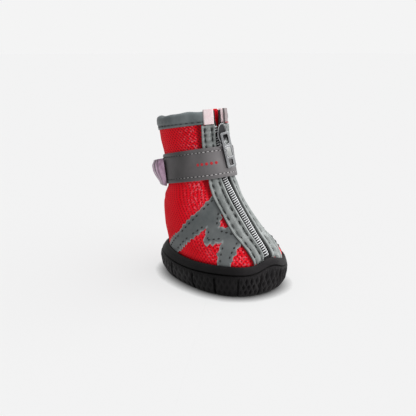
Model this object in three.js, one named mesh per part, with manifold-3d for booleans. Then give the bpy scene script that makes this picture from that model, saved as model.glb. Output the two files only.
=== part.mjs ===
// A dog boot: a moulded rubber cup sole, a hollow mesh upper that leans back over the heel,
// a front zip between two leather plackets, a bound collar and a strap round the ankle.
// Millimetres. The toe points along -Y, the sole stands on z = 0 and +X is on the right
// of someone who looks from the toe to the heel.

import * as THREE from 'three';
import Module from 'manifold-3d';
import { mergeVertices } from 'three/addons/utils/BufferGeometryUtils.js';

const wasm = await Module();
wasm.setup();

// ---------------------------------------------------------------- driving sizes

const CLEARANCE = 0.3; // between pieces that touch on the real boot

// The last: ovals stacked from the feather edge to above the collar. Each is level across
// and leans back by lean degrees. height and middle place its centre, depth and width are
// its half sizes. front and back are the powers of its toe and heel halves: 2 is an
// ellipse, more is squarer, less comes to a ridge. taper narrows its heel end.
const LAST = [
  {
    name: 'feather edge', height: 7.3, middle: -0.9, lean: 0, depth: 36.3, width: 23.9,
    front: 2.25, back: 2.25, taper: 0.04,
  },
  {
    name: 'rim', height: 17.4, middle: -1, lean: 0, depth: 36.9, width: 24.5,
    front: 2.25, back: 2.25, taper: 0.04,
  },
  {
    name: 'toe box', height: 22, middle: 0.5, lean: 0, depth: 37.4, width: 24.2,
    front: 1.9, back: 2.2, taper: 0.03,
  },
  {
    name: 'vamp', height: 30, middle: 7.2, lean: 3, depth: 34.2, width: 22.3,
    front: 1.5, back: 2.15, taper: 0.01,
  },
  {
    name: 'instep', height: 44, middle: 15.6, lean: 6, depth: 27.8, width: 19.2,
    front: 1.38, back: 2.1, taper: 0,
  },
  {
    name: 'ankle', height: 53.3, middle: 18.6, lean: 12, depth: 21.8, width: 16.4,
    front: 1.75, back: 2, taper: 0,
  },
  {
    name: 'strap top', height: 69.9, middle: 23.6, lean: 12, depth: 22.3, width: 15.4,
    front: 2, back: 2, taper: 0,
  },
  {
    name: 'collar base', height: 83.5, middle: 27.2, lean: 9.5, depth: 24.2, width: 15.2,
    front: 2, back: 2, taper: 0,
  },
  {
    name: 'collar', height: 89.2, middle: 28, lean: 8.5, depth: 24.4, width: 15,
    front: 2, back: 2, taper: 0,
  },
  {
    name: 'above the collar', height: 95, middle: 28.9, lean: 8.5, depth: 24.5, width: 14.9,
    front: 2, back: 2, taper: 0,
  },
];
const FEATHER_EDGE = 7.3;
const UPPER_TOP = 89.2;
const UPPER_WALL = 1.8;

// The sole
const SOLE_LENGTH = 82.8;
const SOLE_WIDTH = 58;
const SOLE_MIDDLE = 0.6;
const SOLE_POWER = 2.25;
const SOLE_TAPER = 0.04;
const RIM_HEIGHT = 17.3;
const CUP_FLOOR = 7;
const TOE_SPRING = 0.8; // how far the tread lifts at the toe
const TOE_SPRING_START = 27; // ahead of the sole's middle
const TOE_GUARD_RISE = 3.6; // how far the rim climbs over the toe
const TOE_GUARD_ANGLE = 14;
const WAIST_DIP = 1.1; // how far the rim sinks at the waist
const WAIST_DIP_ANGLE = 26;

// Rows of the sole's skin, from the middle of the tread out, up the wall, over the rim and
// down inside. inset is measured in from the widest outline, rise is the share of the toe
// guard's climb that the row takes, forward moves the row towards the toe.
const SOLE_ROWS = [
  { name: 'centre field', height: 0, inset: 15.4, rise: 0, forward: 0 },
  { name: 'oval groove, inner edge', height: 1.4, inset: 15, rise: 0, forward: 0 },
  { name: 'oval groove, outer edge', height: 1.4, inset: 13.8, rise: 0, forward: 0 },
  { name: 'lug ring', height: 0, inset: 13.4, rise: 0, forward: 0 },
  { name: 'tread edge', height: 0, inset: 5, rise: 0, forward: 0 },
  { name: 'rounded edge', height: 1.5, inset: 2.8, rise: 0, forward: 0 },
  { name: 'lower wall', height: 5, inset: 0.8, rise: 0.1, forward: 0 },
  { name: 'widest', height: 9.6, inset: 0, rise: 0.5, forward: 0 },
  { name: 'under the line', height: 12.5, inset: 0.4, rise: 1, forward: 0.4 },
  { name: 'line', height: 13.1, inset: 1.3, rise: 1, forward: 0.5 },
  { name: 'rim foot', height: 13.7, inset: 0.7, rise: 1, forward: 0.5 },
  { name: 'rim face', height: 16, inset: 1.9, rise: 1, forward: 1.1 },
  { name: 'rim lip', height: RIM_HEIGHT, inset: 3.3, rise: 1, forward: 1.6 },
  { name: 'lip inside', height: 16.9, inset: 4, rise: 1, forward: 1.6 },
  { name: 'cup wall', height: 12, inset: 4.3, rise: 0.3, forward: 1.5 },
  { name: 'cup floor', height: CUP_FLOOR, inset: 4.6, rise: 0, forward: 1.5 },
];
const LUG_COUNT = 16;
const LUG_GAP = 1.2;
// The cut between two lugs, in a plane through the sole's axis: inset and height.
const LUG_CUT = [
  { inset: 14.4, height: -1 },
  { inset: 14.4, height: 1.4 },
  { inset: 6.4, height: 1.4 },
  { inset: 2.6, height: 5 },
  { inset: 1, height: 9.6 },
  { inset: 0.9, height: 11.2 },
  { inset: -1.5, height: 11.2 },
  { inset: -1.5, height: -1 },
];
const HEXAGON_COUNT = 4;
const HEXAGON_PITCH = 12.4;
const HEXAGON_RADIUS = 6;
const HEXAGON_GROOVE = 0.9;
const HEXAGON_DEPTH = 1;

const INSOLE_THICKNESS = 2;
const INSOLE_INSET = 7.6;

// The zip and its plackets
const SLOT_HALF = 5; // the upper's front opening, to each side of the zip
const TAPE_HALF = 4.2;
const TAPE_OUTER = -0.7;
const TAPE_INNER = -1.5;
const CHAIN_HALF = 2.2;
const CHAIN_INNER = -0.3;
const CHAIN_OUTER = 1.1;
const OPEN_HALF_INNER = 1.7; // above the slider the two halves of the zip part
const OPEN_HALF_TOP = 82.6;
const PLACKET_INNER = 2.8;
const PLACKET_OUTER = 8.9;
const PLACKET_THICKNESS = 1.2;
const PLACKET_TOP = 82.4;

// The collar
const BINDING_FOOT = 83.2;
const BINDING_THICKNESS = 1.1;
const BINDING_FRONT = 8; // its ends stop this far from the zip
const CAP_INNER = 3.2; // the reflective end caps
const CAP_OUTER = 7.7;
const CAP_FOOT = 82.9;
const CAP_TOP = 91.4;
const CAP_THICKNESS = 0.8;

// The gusset behind the zip
const GUSSET_OUTER = -3.5;
const GUSSET_THICKNESS = 1.2;
const GUSSET_HALF = 12.5;
const GUSSET_FOOT = 27;
const GUSSET_TOP = 89;
const GUSSET_CROWN = 2.9;

// The strap
const STRAP_FOOT = 53.4;
const STRAP_TOP = 69.9;
const STRAP_THICKNESS = 1.2;
const STRAP_STANDOFF = 0.5;
const STRAP_FRONT_STANDOFF = 1.8; // it climbs over the plackets
const STRAP_CLIMB_START = 35;
const STRAP_CLIMB_END = 50;
const LOOP_MIDDLE = -146; // the slack of the strap, on its left and rear
const LOOP_HALF_ANGLE = 30;
const LOOP_STANDOFF = 6.2;
const LOOP_THICKNESS = 1;

// The slider and its pull
const SLIDER_HEIGHT = 77.2;
const SLIDER_LENGTH = 11;
const SLIDER_WIDTH = 6.4;
const SLIDER_STANDOFF = 1.9;
const SLIDER_PLATE = 1;
const BRIDGE_LENGTH = 7.4;
const BRIDGE_WIDTH = 1.5;
const BRIDGE_OPENING = 2.4;
const BRIDGE_BAR = 0.8;
const PULL_LENGTH = 19.6;
const PULL_WIDTH = 6.2;
const PULL_THICKNESS = 1.3;
const PULL_HEAD_BAR = 1.2;
const PULL_EYE_LENGTH = 5.2;
const PULL_EYE_WIDTH = 3.4;
const PULL_WINDOW_LENGTH = 3.4;
const PULL_WINDOW_WIDTH = 2.8;
const PULL_WINDOW_FOOT = 1.2;
const PULL_LEAN = 6.5; // outwards, so that it clears the strap
const PULL_TURN = 8; // it hangs a little askew

// ---------------------------------------------------------------- materials

const material = (color, roughness, metalness) =>
  new THREE.MeshStandardMaterial({ color, roughness, metalness });
const MESH_RED = () => material(0xc4152a, 0.8, 0);
const LEATHER_GREY = () => material(0x78807e, 0.6, 0);
const STRAP_GREY = () => material(0x5a5757, 0.6, 0);
const RUBBER_BLACK = () => material(0x26262a, 0.7, 0);
const TAPE_BLACK = () => material(0x1c1c1e, 0.85, 0);
const SILVER_RIBBON = () => material(0xe3d3d6, 0.35, 0.2);
const LILAC_RIBBON = () => material(0xa997ab, 0.35, 0.2);
const NICKEL = () => material(0xb9bbbe, 0.25, 0.9);
const FOAM_BLACK = () => material(0x303032, 0.9, 0);

// ---------------------------------------------------------------- curves of the last

const radians = (degrees) => THREE.MathUtils.degToRad(degrees);

// A smooth step from 0 at start to 1 at end.
const ease = (value, start, end) => THREE.MathUtils.smoothstep(value, start, end);

const LAST_COLUMNS = ['middle', 'lean', 'depth', 'width', 'front', 'back', 'taper'];

// One column of the last's table at any height, through a cubic that never overshoots.
function lastColumn(column, height) {
  const rows = LAST;
  const top = rows.length - 2;
  let i = 0;
  while (i < top && height > rows[i + 1].height) i += 1;
  const slope = (k) => (rows[k + 1][column] - rows[k][column]) / (rows[k + 1].height - rows[k].height);
  const tangent = (k) => {
    if (k === 0) return slope(0);
    if (k === rows.length - 1) return slope(k - 1);
    const before = slope(k - 1);
    const after = slope(k);
    return before * after <= 0 ? 0 : (2 * before * after) / (before + after);
  };
  const span = rows[i + 1].height - rows[i].height;
  const t = (height - rows[i].height) / span;
  const start = rows[i][column];
  const end = rows[i + 1][column];
  const a = 2 * t ** 3 - 3 * t ** 2 + 1;
  const b = t ** 3 - 2 * t ** 2 + t;
  const c = 3 * t ** 2 - 2 * t ** 3;
  const d = t ** 3 - t ** 2;
  return a * start + b * span * tangent(i) + c * end + d * span * tangent(i + 1);
}

// A point of an oval round the z axis, with angle 0 at the toe and growing towards +X.
function ovalPoint(angle, { depth, width, front, back, taper }) {
  const along = Math.cos(angle);
  const across = Math.sin(angle);
  const power = along > 0 ? front : back;
  const y = -depth * Math.sign(along) * Math.abs(along) ** (2 / power);
  const x = width * Math.sign(across) * Math.abs(across) ** (2 / power);
  return { x: x * (1 - (taper * y) / depth), y };
}

// A point of the last's surface.
function lastPoint(angle, height) {
  const section = Object.fromEntries(
    LAST_COLUMNS.map((column) => [column, lastColumn(column, height)]),
  );
  const { x, y } = ovalPoint(angle, section);
  const lean = radians(section.lean);
  return new THREE.Vector3(x, section.middle + y * Math.cos(lean), height - y * Math.sin(lean));
}

// A point that stands proud of the last by a distance along its outward normal.
function proudPoint(angle, height, proud) {
  const small = 0.02;
  const point = lastPoint(angle, height);
  const round = lastPoint(angle + small, height).sub(lastPoint(angle - small, height));
  const up = lastPoint(angle, height + small).sub(lastPoint(angle, height - small));
  return point.addScaledVector(round.cross(up).normalize(), proud);
}

// The angle at which the last is a distance across from its middle plane, near the toe.
function angleAcross(across, height) {
  const width = lastColumn('width', height) * (1 + lastColumn('taper', height));
  const power = lastColumn('front', height);
  return Math.sign(across) * Math.asin(Math.min(1, Math.abs(across) / width) ** (power / 2));
}

// How far the rim climbs or sinks at an angle round the sole.
function rimClimb(angle) {
  const degrees = Math.abs(THREE.MathUtils.radToDeg(Math.atan2(Math.sin(angle), Math.cos(angle))));
  const guard = TOE_GUARD_RISE * Math.exp(-((degrees / TOE_GUARD_ANGLE) ** 2));
  const dip = WAIST_DIP * Math.exp(-(((degrees - 90) / WAIST_DIP_ANGLE) ** 2));
  return guard - dip;
}

// A point of the sole's outline, in from its widest line by an inset.
function solePoint(angle, row) {
  const depth = SOLE_LENGTH / 2 - row.inset;
  const width = SOLE_WIDTH / 2 - row.inset;
  const { x, y } = ovalPoint(angle, { depth, width, front: SOLE_POWER, back: SOLE_POWER, taper: SOLE_TAPER });
  const ahead = Math.max(0, -y - TOE_SPRING_START) / (SOLE_LENGTH / 2 - TOE_SPRING_START);
  const spring = row.height < CUP_FLOOR ? TOE_SPRING * ahead ** 2 : 0;
  const z = row.height + row.rise * rimClimb(angle) + spring;
  return new THREE.Vector3(x, SOLE_MIDDLE + y - row.forward, z);
}

// ---------------------------------------------------------------- solids

// Numbers from start to end in equal steps.
const steps = (start, end, count) =>
  Array.from({ length: count + 1 }, (_, i) => start + ((end - start) * i) / count);

function signedVolume(positions, indices) {
  const corner = (k) => new THREE.Vector3().fromArray(positions, 3 * indices[k]);
  let volume = 0;
  for (let k = 0; k < indices.length; k += 3) {
    volume += corner(k).dot(corner(k + 1).cross(corner(k + 2))) / 6;
  }
  return volume;
}

// A ring of points as a flat outline, seen against the way it faces.
function flatten(ring) {
  const facing = new THREE.Vector3();
  ring.forEach((point, i) => {
    facing.add(new THREE.Vector3().crossVectors(point, ring[(i + 1) % ring.length]));
  });
  facing.normalize();
  const guide = Math.abs(facing.z) < 0.9 ? new THREE.Vector3(0, 0, 1) : new THREE.Vector3(1, 0, 0);
  const across = new THREE.Vector3().crossVectors(guide, facing).normalize();
  const up = new THREE.Vector3().crossVectors(facing, across);
  return ring.map((point) => new THREE.Vector2(point.dot(across), point.dot(up)));
}

// The triangles that close a ring, turned the way that the ring runs.
function capTriangles(ring) {
  const outline = flatten(ring);
  return THREE.ShapeUtils.triangulateShape(outline, []).map(([a, b, c]) => {
    const area = THREE.ShapeUtils.area([outline[a], outline[b], outline[c]]);
    return area > 0 ? [a, b, c] : [a, c, b];
  });
}

// A closed body through rings of points. Every ring has the same number of points. The
// first and last rings join up when looped, and are closed by caps when not.
function loft(rings, looped = false) {
  const size = rings[0].length;
  const positions = rings.flat().flatMap((point) => point.toArray());
  const indices = [];
  const bands = looped ? rings.length : rings.length - 1;
  for (let i = 0; i < bands; i += 1) {
    const here = i * size;
    const next = ((i + 1) % rings.length) * size;
    for (let j = 0; j < size; j += 1) {
      const k = (j + 1) % size;
      indices.push(here + j, here + k, next + k, here + j, next + k, next + j);
    }
  }
  if (!looped) {
    const last = (rings.length - 1) * size;
    capTriangles(rings[0]).forEach(([a, b, c]) => indices.push(a, c, b));
    capTriangles(rings.at(-1)).forEach(([a, b, c]) => indices.push(last + a, last + b, last + c));
  }
  const geometry = new THREE.BufferGeometry();
  if (signedVolume(positions, indices) < 0) indices.reverse();
  geometry.setAttribute('position', new THREE.Float32BufferAttribute(positions, 3));
  geometry.setIndex(indices);
  return geometry;
}

// A closed body through level rings, with a fan of triangles over each end.
function stack(rings, footCentre, topCentre) {
  const size = rings[0].length;
  const positions = [...rings.flat(), footCentre, topCentre].flatMap((point) => point.toArray());
  const foot = rings.length * size;
  const last = (rings.length - 1) * size;
  const indices = [];
  for (let j = 0; j < size; j += 1) {
    const k = (j + 1) % size;
    for (let i = 0; i < rings.length - 1; i += 1) {
      const here = i * size;
      const next = here + size;
      indices.push(here + j, here + k, next + k, here + j, next + k, next + j);
    }
    indices.push(foot, k, j, foot + 1, last + j, last + k);
  }
  const geometry = new THREE.BufferGeometry();
  if (signedVolume(positions, indices) < 0) indices.reverse();
  geometry.setAttribute('position', new THREE.Float32BufferAttribute(positions, 3));
  geometry.setIndex(indices);
  return geometry;
}

// A piece that wraps the last. outline lists corners as [height, proud], angles lists the
// stations round the last, and place may move a corner: it gets the station's share from 0
// to 1 and the corner, and gives { angle, height, proud }.
function wrap(outline, angles, { looped = false, place = null } = {}) {
  const rings = angles.map((angle, i) => {
    const share = i / (angles.length - 1);
    return outline.map(([height, proud]) => {
      const corner = { angle, height, proud, ...(place ? place(share, { angle, height, proud }) : {}) };
      return proudPoint(corner.angle, corner.height, corner.proud);
    });
  });
  return loft(rings, looped);
}

// The outline of a plate that follows the last from foot to top, between two depths.
function plateOutline(foot, top, inner, outer, count) {
  const heights = steps(foot, top, count);
  const outside = heights.map((height) => [height, outer]);
  const inside = heights.map((height) => [height, inner]).reverse();
  return [...outside, ...inside];
}

function toManifold(geometry) {
  const bare = geometry.clone();
  bare.deleteAttribute('normal');
  bare.deleteAttribute('uv');
  const merged = mergeVertices(bare, 1e-5);
  const vertProperties = new Float32Array(merged.attributes.position.array);
  const triVerts = new Uint32Array(merged.index.array);
  return new wasm.Manifold(new wasm.Mesh({ numProp: 3, vertProperties, triVerts }));
}

function fromManifold(solid) {
  const mesh = solid.getMesh();
  const geometry = new THREE.BufferGeometry();
  geometry.setAttribute('position', new THREE.Float32BufferAttribute(mesh.vertProperties, 3));
  geometry.setIndex(new THREE.Uint32BufferAttribute(mesh.triVerts, 1));
  return geometry;
}

const union = (solids) => solids.reduce((whole, solid) => whole.add(solid));

// A flat shape given by corners, pushed out along its normal by a depth.
function prism(corners, depth, holes = []) {
  const shape = new THREE.Shape(corners.map(([a, b]) => new THREE.Vector2(a, b)));
  shape.holes = holes.map((hole) => new THREE.Path(hole.map(([a, b]) => new THREE.Vector2(a, b))));
  return new THREE.ExtrudeGeometry(shape, { depth, bevelEnabled: false });
}

const rectangle = (left, foot, right, top) => [[left, foot], [right, foot], [right, top], [left, top]];

// ---------------------------------------------------------------- the sole and insole

function soleRing(row, count) {
  return Array.from({ length: count }, (_, i) => solePoint((2 * Math.PI * i) / count, row));
}

function lugCutter(index) {
  const angle = (2 * Math.PI * (index + 0.5)) / LUG_COUNT;
  const outline = { inset: 0, height: CUP_FLOOR, rise: 0, forward: 0 };
  const edge = solePoint(angle, outline);
  const along = solePoint(angle + 0.05, outline).sub(solePoint(angle - 0.05, outline));
  const up = new THREE.Vector3(0, 0, 1);
  const outward = along.cross(up).normalize();
  const side = new THREE.Vector3().crossVectors(outward, up);
  const cut = prism(LUG_CUT.map(({ inset, height }) => [-inset, height]), LUG_GAP);
  cut.translate(0, 0, -LUG_GAP / 2);
  cut.applyMatrix4(new THREE.Matrix4().makeBasis(outward, up, side));
  cut.translate(edge.x, edge.y, 0);
  return toManifold(cut);
}

function hexagonGroove(index) {
  const corners = (radius) => Array.from({ length: 6 }, (_, i) => {
    const angle = (Math.PI * i) / 3;
    return [radius * Math.cos(angle), radius * Math.sin(angle)];
  });
  const inner = HEXAGON_RADIUS - HEXAGON_GROOVE;
  const groove = prism(corners(HEXAGON_RADIUS), HEXAGON_DEPTH + 1, [corners(inner)]);
  groove.translate(0, SOLE_MIDDLE + (index - (HEXAGON_COUNT - 1) / 2) * HEXAGON_PITCH, -1);
  return toManifold(groove);
}

function outsole() {
  const rings = SOLE_ROWS.map((row) => soleRing(row, 72));
  const centre = (height) => new THREE.Vector3(0, SOLE_MIDDLE, height);
  const cup = toManifold(stack(rings, centre(0), centre(CUP_FLOOR)));
  const cuts = [
    ...Array.from({ length: LUG_COUNT }, (_, i) => lugCutter(i)),
    ...Array.from({ length: HEXAGON_COUNT }, (_, i) => hexagonGroove(i)),
  ];
  return fromManifold(cup.subtract(union(cuts)));
}

function insole() {
  const foot = CUP_FLOOR + CLEARANCE;
  const top = foot + INSOLE_THICKNESS;
  const row = { inset: INSOLE_INSET, rise: 0, forward: 1.5 };
  const rings = [foot, top].map((height) => soleRing({ ...row, height }, 48));
  rings.forEach((ring, i) => ring.forEach((point) => point.setZ(i === 0 ? foot : top)));
  return stack(rings, new THREE.Vector3(0, 0, foot), new THREE.Vector3(0, 0, top));
}

// ---------------------------------------------------------------- the upper and gusset

// Heights of the upper's rows, closer together where the last turns.
const UPPER_ROWS = [7.3, 15.5, 18.5, 21.5, 25, 29, 33.5, 38.5, 43.5, 48, 52, 56, 62, 69, 76, 83, UPPER_TOP];

// Stations round the last from one side of the front slot, round the heel, to the other.
function openStations(count) {
  return steps(0, 2 * Math.PI, count);
}

function upper() {
  const outline = [
    ...UPPER_ROWS.map((height) => [height, 0]),
    ...UPPER_ROWS.map((height) => [height, -UPPER_WALL]).reverse(),
  ];
  const place = (share, { height }) => {
    const start = angleAcross(SLOT_HALF, height);
    return { angle: start + share * (2 * Math.PI - 2 * start) };
  };
  return wrap(outline, openStations(44), { place });
}

function gusset() {
  const outline = plateOutline(GUSSET_FOOT, GUSSET_TOP, GUSSET_OUTER - GUSSET_THICKNESS, GUSSET_OUTER, 12);
  const place = (share, { height }) => {
    const across = (2 * share - 1) * GUSSET_HALF;
    const climb = (height - GUSSET_FOOT) / (GUSSET_TOP - GUSSET_FOOT);
    const crown = GUSSET_CROWN * climb * (1 - (2 * share - 1) ** 2);
    return { angle: angleAcross(across, height), height: height + crown };
  };
  return wrap(outline, openStations(10), { place });
}

// ---------------------------------------------------------------- the zip

// A strip beside or over the zip, between two distances across from the middle.
function zipStrip(outline, from, to, count) {
  const place = (share, { height }) => ({ angle: angleAcross(from + share * (to - from), height) });
  return wrap(outline, openStations(count), { place });
}

// The height of the toe guard's lip in front of a point that is so far across.
function lipHeight(across) {
  const halfWidth = SOLE_WIDTH / 2 - 3.3;
  const angle = Math.asin((Math.abs(across) / halfWidth) ** (SOLE_POWER / 2));
  return RIM_HEIGHT + rimClimb(angle);
}

function zipTape() {
  const outline = plateOutline(FEATHER_EDGE, SLIDER_HEIGHT, TAPE_INNER, TAPE_OUTER, 18);
  return zipStrip(outline, -TAPE_HALF, TAPE_HALF, 4);
}

function zipChain() {
  const foot = lipHeight(0) + CLEARANCE;
  const outline = plateOutline(foot, SLIDER_HEIGHT - 1, CHAIN_INNER, CHAIN_OUTER, 18);
  return zipStrip(outline, -CHAIN_HALF, CHAIN_HALF, 3);
}

// One half of the parted zip above the slider, on the side given by 1 or -1.
function openHalf(side) {
  const outline = plateOutline(SLIDER_HEIGHT + CLEARANCE, OPEN_HALF_TOP, TAPE_INNER, CHAIN_INNER, 3);
  return zipStrip(outline, side * OPEN_HALF_INNER, side * TAPE_HALF, 1);
}

function placket(side) {
  const outline = plateOutline(0, 1, CLEARANCE, CLEARANCE + PLACKET_THICKNESS, 16);
  const place = (share, { height }) => {
    const across = PLACKET_INNER + share * (PLACKET_OUTER - PLACKET_INNER);
    const foot = lipHeight(across) + CLEARANCE;
    const level = foot + height * (PLACKET_TOP - foot);
    return { angle: angleAcross(side * across, level), height: level };
  };
  return wrap(outline, openStations(4), { place });
}

// ---------------------------------------------------------------- the collar

function collarBinding() {
  const outside = CLEARANCE + BINDING_THICKNESS;
  const inside = -UPPER_WALL - CLEARANCE - BINDING_THICKNESS;
  const lip = UPPER_TOP + CLEARANCE;
  const outline = [
    [BINDING_FOOT, CLEARANCE],
    [BINDING_FOOT, outside],
    [lip, outside],
    [lip + BINDING_THICKNESS * 0.8, outside - 0.7],
    [lip + BINDING_THICKNESS, (outside + inside) / 2],
    [lip + BINDING_THICKNESS * 0.8, inside + 0.7],
    [lip, inside],
    [BINDING_FOOT, inside],
    [BINDING_FOOT, -UPPER_WALL - CLEARANCE],
    [lip, -UPPER_WALL - CLEARANCE],
    [lip, CLEARANCE],
  ];
  const place = (share, { height }) => {
    const start = angleAcross(BINDING_FRONT, height);
    return { angle: start + share * (2 * Math.PI - 2 * start) };
  };
  return wrap(outline, openStations(38), { place });
}

// A ribbon folded round one end of the collar: a face outside and a return into the gap.
function endCap(side) {
  const face = CLEARANCE + 0.2;
  const back = -UPPER_WALL - CLEARANCE;
  const heights = steps(CAP_FOOT, CAP_TOP, 3);
  const rings = heights.map((height) => {
    const at = (across, proud) => proudPoint(angleAcross(side * across, height), height, proud);
    const fold = CAP_INNER + CAP_THICKNESS;
    return [
      at(CAP_OUTER, face),
      at(CAP_OUTER, face + CAP_THICKNESS),
      at((CAP_OUTER + CAP_INNER) / 2, face + CAP_THICKNESS),
      at(CAP_INNER, face + CAP_THICKNESS),
      at(CAP_INNER, back),
      at(fold, back),
      at(fold, face),
      at((CAP_OUTER + CAP_INNER) / 2, face),
    ];
  });
  return loft(rings);
}

// ---------------------------------------------------------------- the strap

function strapStandoff(angle) {
  const degrees = Math.abs(THREE.MathUtils.radToDeg(Math.atan2(Math.sin(angle), Math.cos(angle))));
  const climb = 1 - ease(degrees, STRAP_CLIMB_START, STRAP_CLIMB_END);
  return STRAP_STANDOFF + climb * (STRAP_FRONT_STANDOFF - STRAP_STANDOFF);
}

function strap() {
  const count = 60;
  const angles = Array.from({ length: count }, (_, i) => (2 * Math.PI * i) / count);
  const outline = plateOutline(STRAP_FOOT, STRAP_TOP, 0, STRAP_THICKNESS, 3);
  const place = (share, { angle, proud }) => ({ proud: proud + strapStandoff(angle) });
  return wrap(outline, angles, { looped: true, place });
}

function strapLoop() {
  const outline = plateOutline(STRAP_FOOT + 0.4, STRAP_TOP - 0.4, 0, LOOP_THICKNESS, 3);
  const rest = STRAP_STANDOFF + STRAP_THICKNESS + CLEARANCE;
  const place = (share, { height, proud }) => {
    const across = 2 * share - 1;
    const bow = Math.cos((Math.PI / 2) * across) ** 0.75;
    const slack = LOOP_STANDOFF * (0.72 + (0.28 * (height - STRAP_FOOT)) / (STRAP_TOP - STRAP_FOOT));
    return {
      angle: radians(LOOP_MIDDLE + LOOP_HALF_ANGLE * across),
      proud: proud + rest + slack * Math.max(0, bow),
    };
  };
  return wrap(outline, openStations(16), { place });
}

// ---------------------------------------------------------------- the slider and pull

// The frame of the zip's middle line at a height: X across, Y up along it, Z outwards.
function zipFrame(height, proud) {
  const origin = proudPoint(0, height, proud);
  const up = lastPoint(0, height + 0.5).sub(lastPoint(0, height - 0.5)).normalize();
  const across = new THREE.Vector3(1, 0, 0);
  const outward = new THREE.Vector3().crossVectors(across, up);
  return new THREE.Matrix4().makeBasis(across, up, outward).setPosition(origin);
}

const HINGE_PROUD = SLIDER_STANDOFF + SLIDER_PLATE + BRIDGE_OPENING / 2;

function slider() {
  const half = SLIDER_WIDTH / 2;
  const end = SLIDER_LENGTH / 2;
  const plate = prism([
    [-half * 0.55, -end], [half * 0.55, -end], [half * 0.9, -end * 0.5], [half, end * 0.2],
    [half * 0.85, end * 0.7], [half * 0.45, end], [-half * 0.45, end], [-half * 0.85, end * 0.7],
    [-half, end * 0.2], [-half * 0.9, -end * 0.5],
  ], SLIDER_PLATE);
  const outer = BRIDGE_LENGTH / 2;
  const inner = outer - BRIDGE_BAR;
  const arch = prism([
    [-outer, -0.2], [-outer, BRIDGE_OPENING * 0.8], [-inner * 0.8, BRIDGE_OPENING + BRIDGE_BAR],
    [inner * 0.8, BRIDGE_OPENING + BRIDGE_BAR], [outer, BRIDGE_OPENING * 0.8], [outer, -0.2],
    [inner, -0.2], [inner, BRIDGE_OPENING * 0.7], [inner * 0.75, BRIDGE_OPENING],
    [-inner * 0.75, BRIDGE_OPENING], [-inner, BRIDGE_OPENING * 0.7], [-inner, -0.2],
  ], BRIDGE_WIDTH);
  arch.applyMatrix4(new THREE.Matrix4().makeBasis(
    new THREE.Vector3(0, 1, 0), new THREE.Vector3(0, 0, 1), new THREE.Vector3(1, 0, 0),
  ));
  arch.translate(-BRIDGE_WIDTH / 2, 0, SLIDER_PLATE);
  const geometry = fromManifold(toManifold(plate).add(toManifold(arch)));
  return geometry.applyMatrix4(zipFrame(SLIDER_HEIGHT, SLIDER_STANDOFF));
}

function pull() {
  const half = PULL_WIDTH / 2;
  const head = PULL_HEAD_BAR / 2;
  const foot = head - PULL_LENGTH;
  const eyeFoot = -head - PULL_EYE_LENGTH;
  const windowFoot = foot + PULL_WINDOW_FOOT;
  const outline = [
    [-half + 0.8, foot], [half - 0.8, foot], [half, foot + 0.8],
    [half, head - 0.9], [half - 0.9, head], [-half + 0.9, head], [-half, head - 0.9], [-half, foot + 0.8],
  ];
  const eye = rectangle(-PULL_EYE_WIDTH / 2, eyeFoot, PULL_EYE_WIDTH / 2, -head);
  const window = rectangle(
    -PULL_WINDOW_WIDTH / 2, windowFoot, PULL_WINDOW_WIDTH / 2, windowFoot + PULL_WINDOW_LENGTH,
  );
  const plate = prism(outline, PULL_THICKNESS, [eye, window]);
  plate.translate(0, 0, -PULL_THICKNESS / 2);
  plate.rotateZ(radians(PULL_TURN));
  plate.rotateX(radians(-PULL_LEAN));
  return plate.applyMatrix4(zipFrame(SLIDER_HEIGHT, HINGE_PROUD));
}

// ---------------------------------------------------------------- the boot

function piece(name, geometry, finish) {
  const mesh = new THREE.Mesh(geometry, finish);
  mesh.name = name;
  return mesh;
}

const boot = new THREE.Group();
boot.add(
  piece('outsole', outsole(), RUBBER_BLACK()),
  piece('insole', insole(), FOAM_BLACK()),
  piece('upper', upper(), MESH_RED()),
  piece('gusset', gusset(), MESH_RED()),
  piece('zip_tape', zipTape(), TAPE_BLACK()),
  piece('zip_chain', zipChain(), NICKEL()),
  piece('collar_binding', collarBinding(), LEATHER_GREY()),
  piece('strap', strap(), STRAP_GREY()),
  piece('strap_loop', strapLoop(), LILAC_RIBBON()),
  piece('zip_slider', slider(), NICKEL()),
  piece('zip_pull', pull(), NICKEL()),
);
[['left', -1], ['right', 1]].forEach(([hand, side]) => {
  boot.add(
    piece(`placket_${hand}`, placket(side), LEATHER_GREY()),
    piece(`zip_end_${hand}`, openHalf(side), TAPE_BLACK()),
    piece(`collar_cap_${hand}`, endCap(side), SILVER_RIBBON()),
  );
});

// The origin is the middle of the boot's footprint, on the floor.
const bounds = new THREE.Box3().setFromObject(boot, true);
boot.position.set(-(bounds.min.x + bounds.max.x) / 2, -(bounds.min.y + bounds.max.y) / 2, -bounds.min.z);

export default boot;
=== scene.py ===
# %% [markdown]
# # A dog boot with a front zip
# The boot is made in the order that a boot maker works: a moulded rubber cup sole, an air
# mesh upper pulled over a last, leather pieces laid on top of it, then the zip, the collar
# and the strap. Every soft piece starts as a flat grid, as cloth starts flat on a cutting
# table, and a function then lays its points over the last.

# %% Load the frame
import math

import bpy
import numpy as np
from mathutils import Matrix, Vector
from mathutils.geometry import delaunay_2d_cdt


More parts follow.
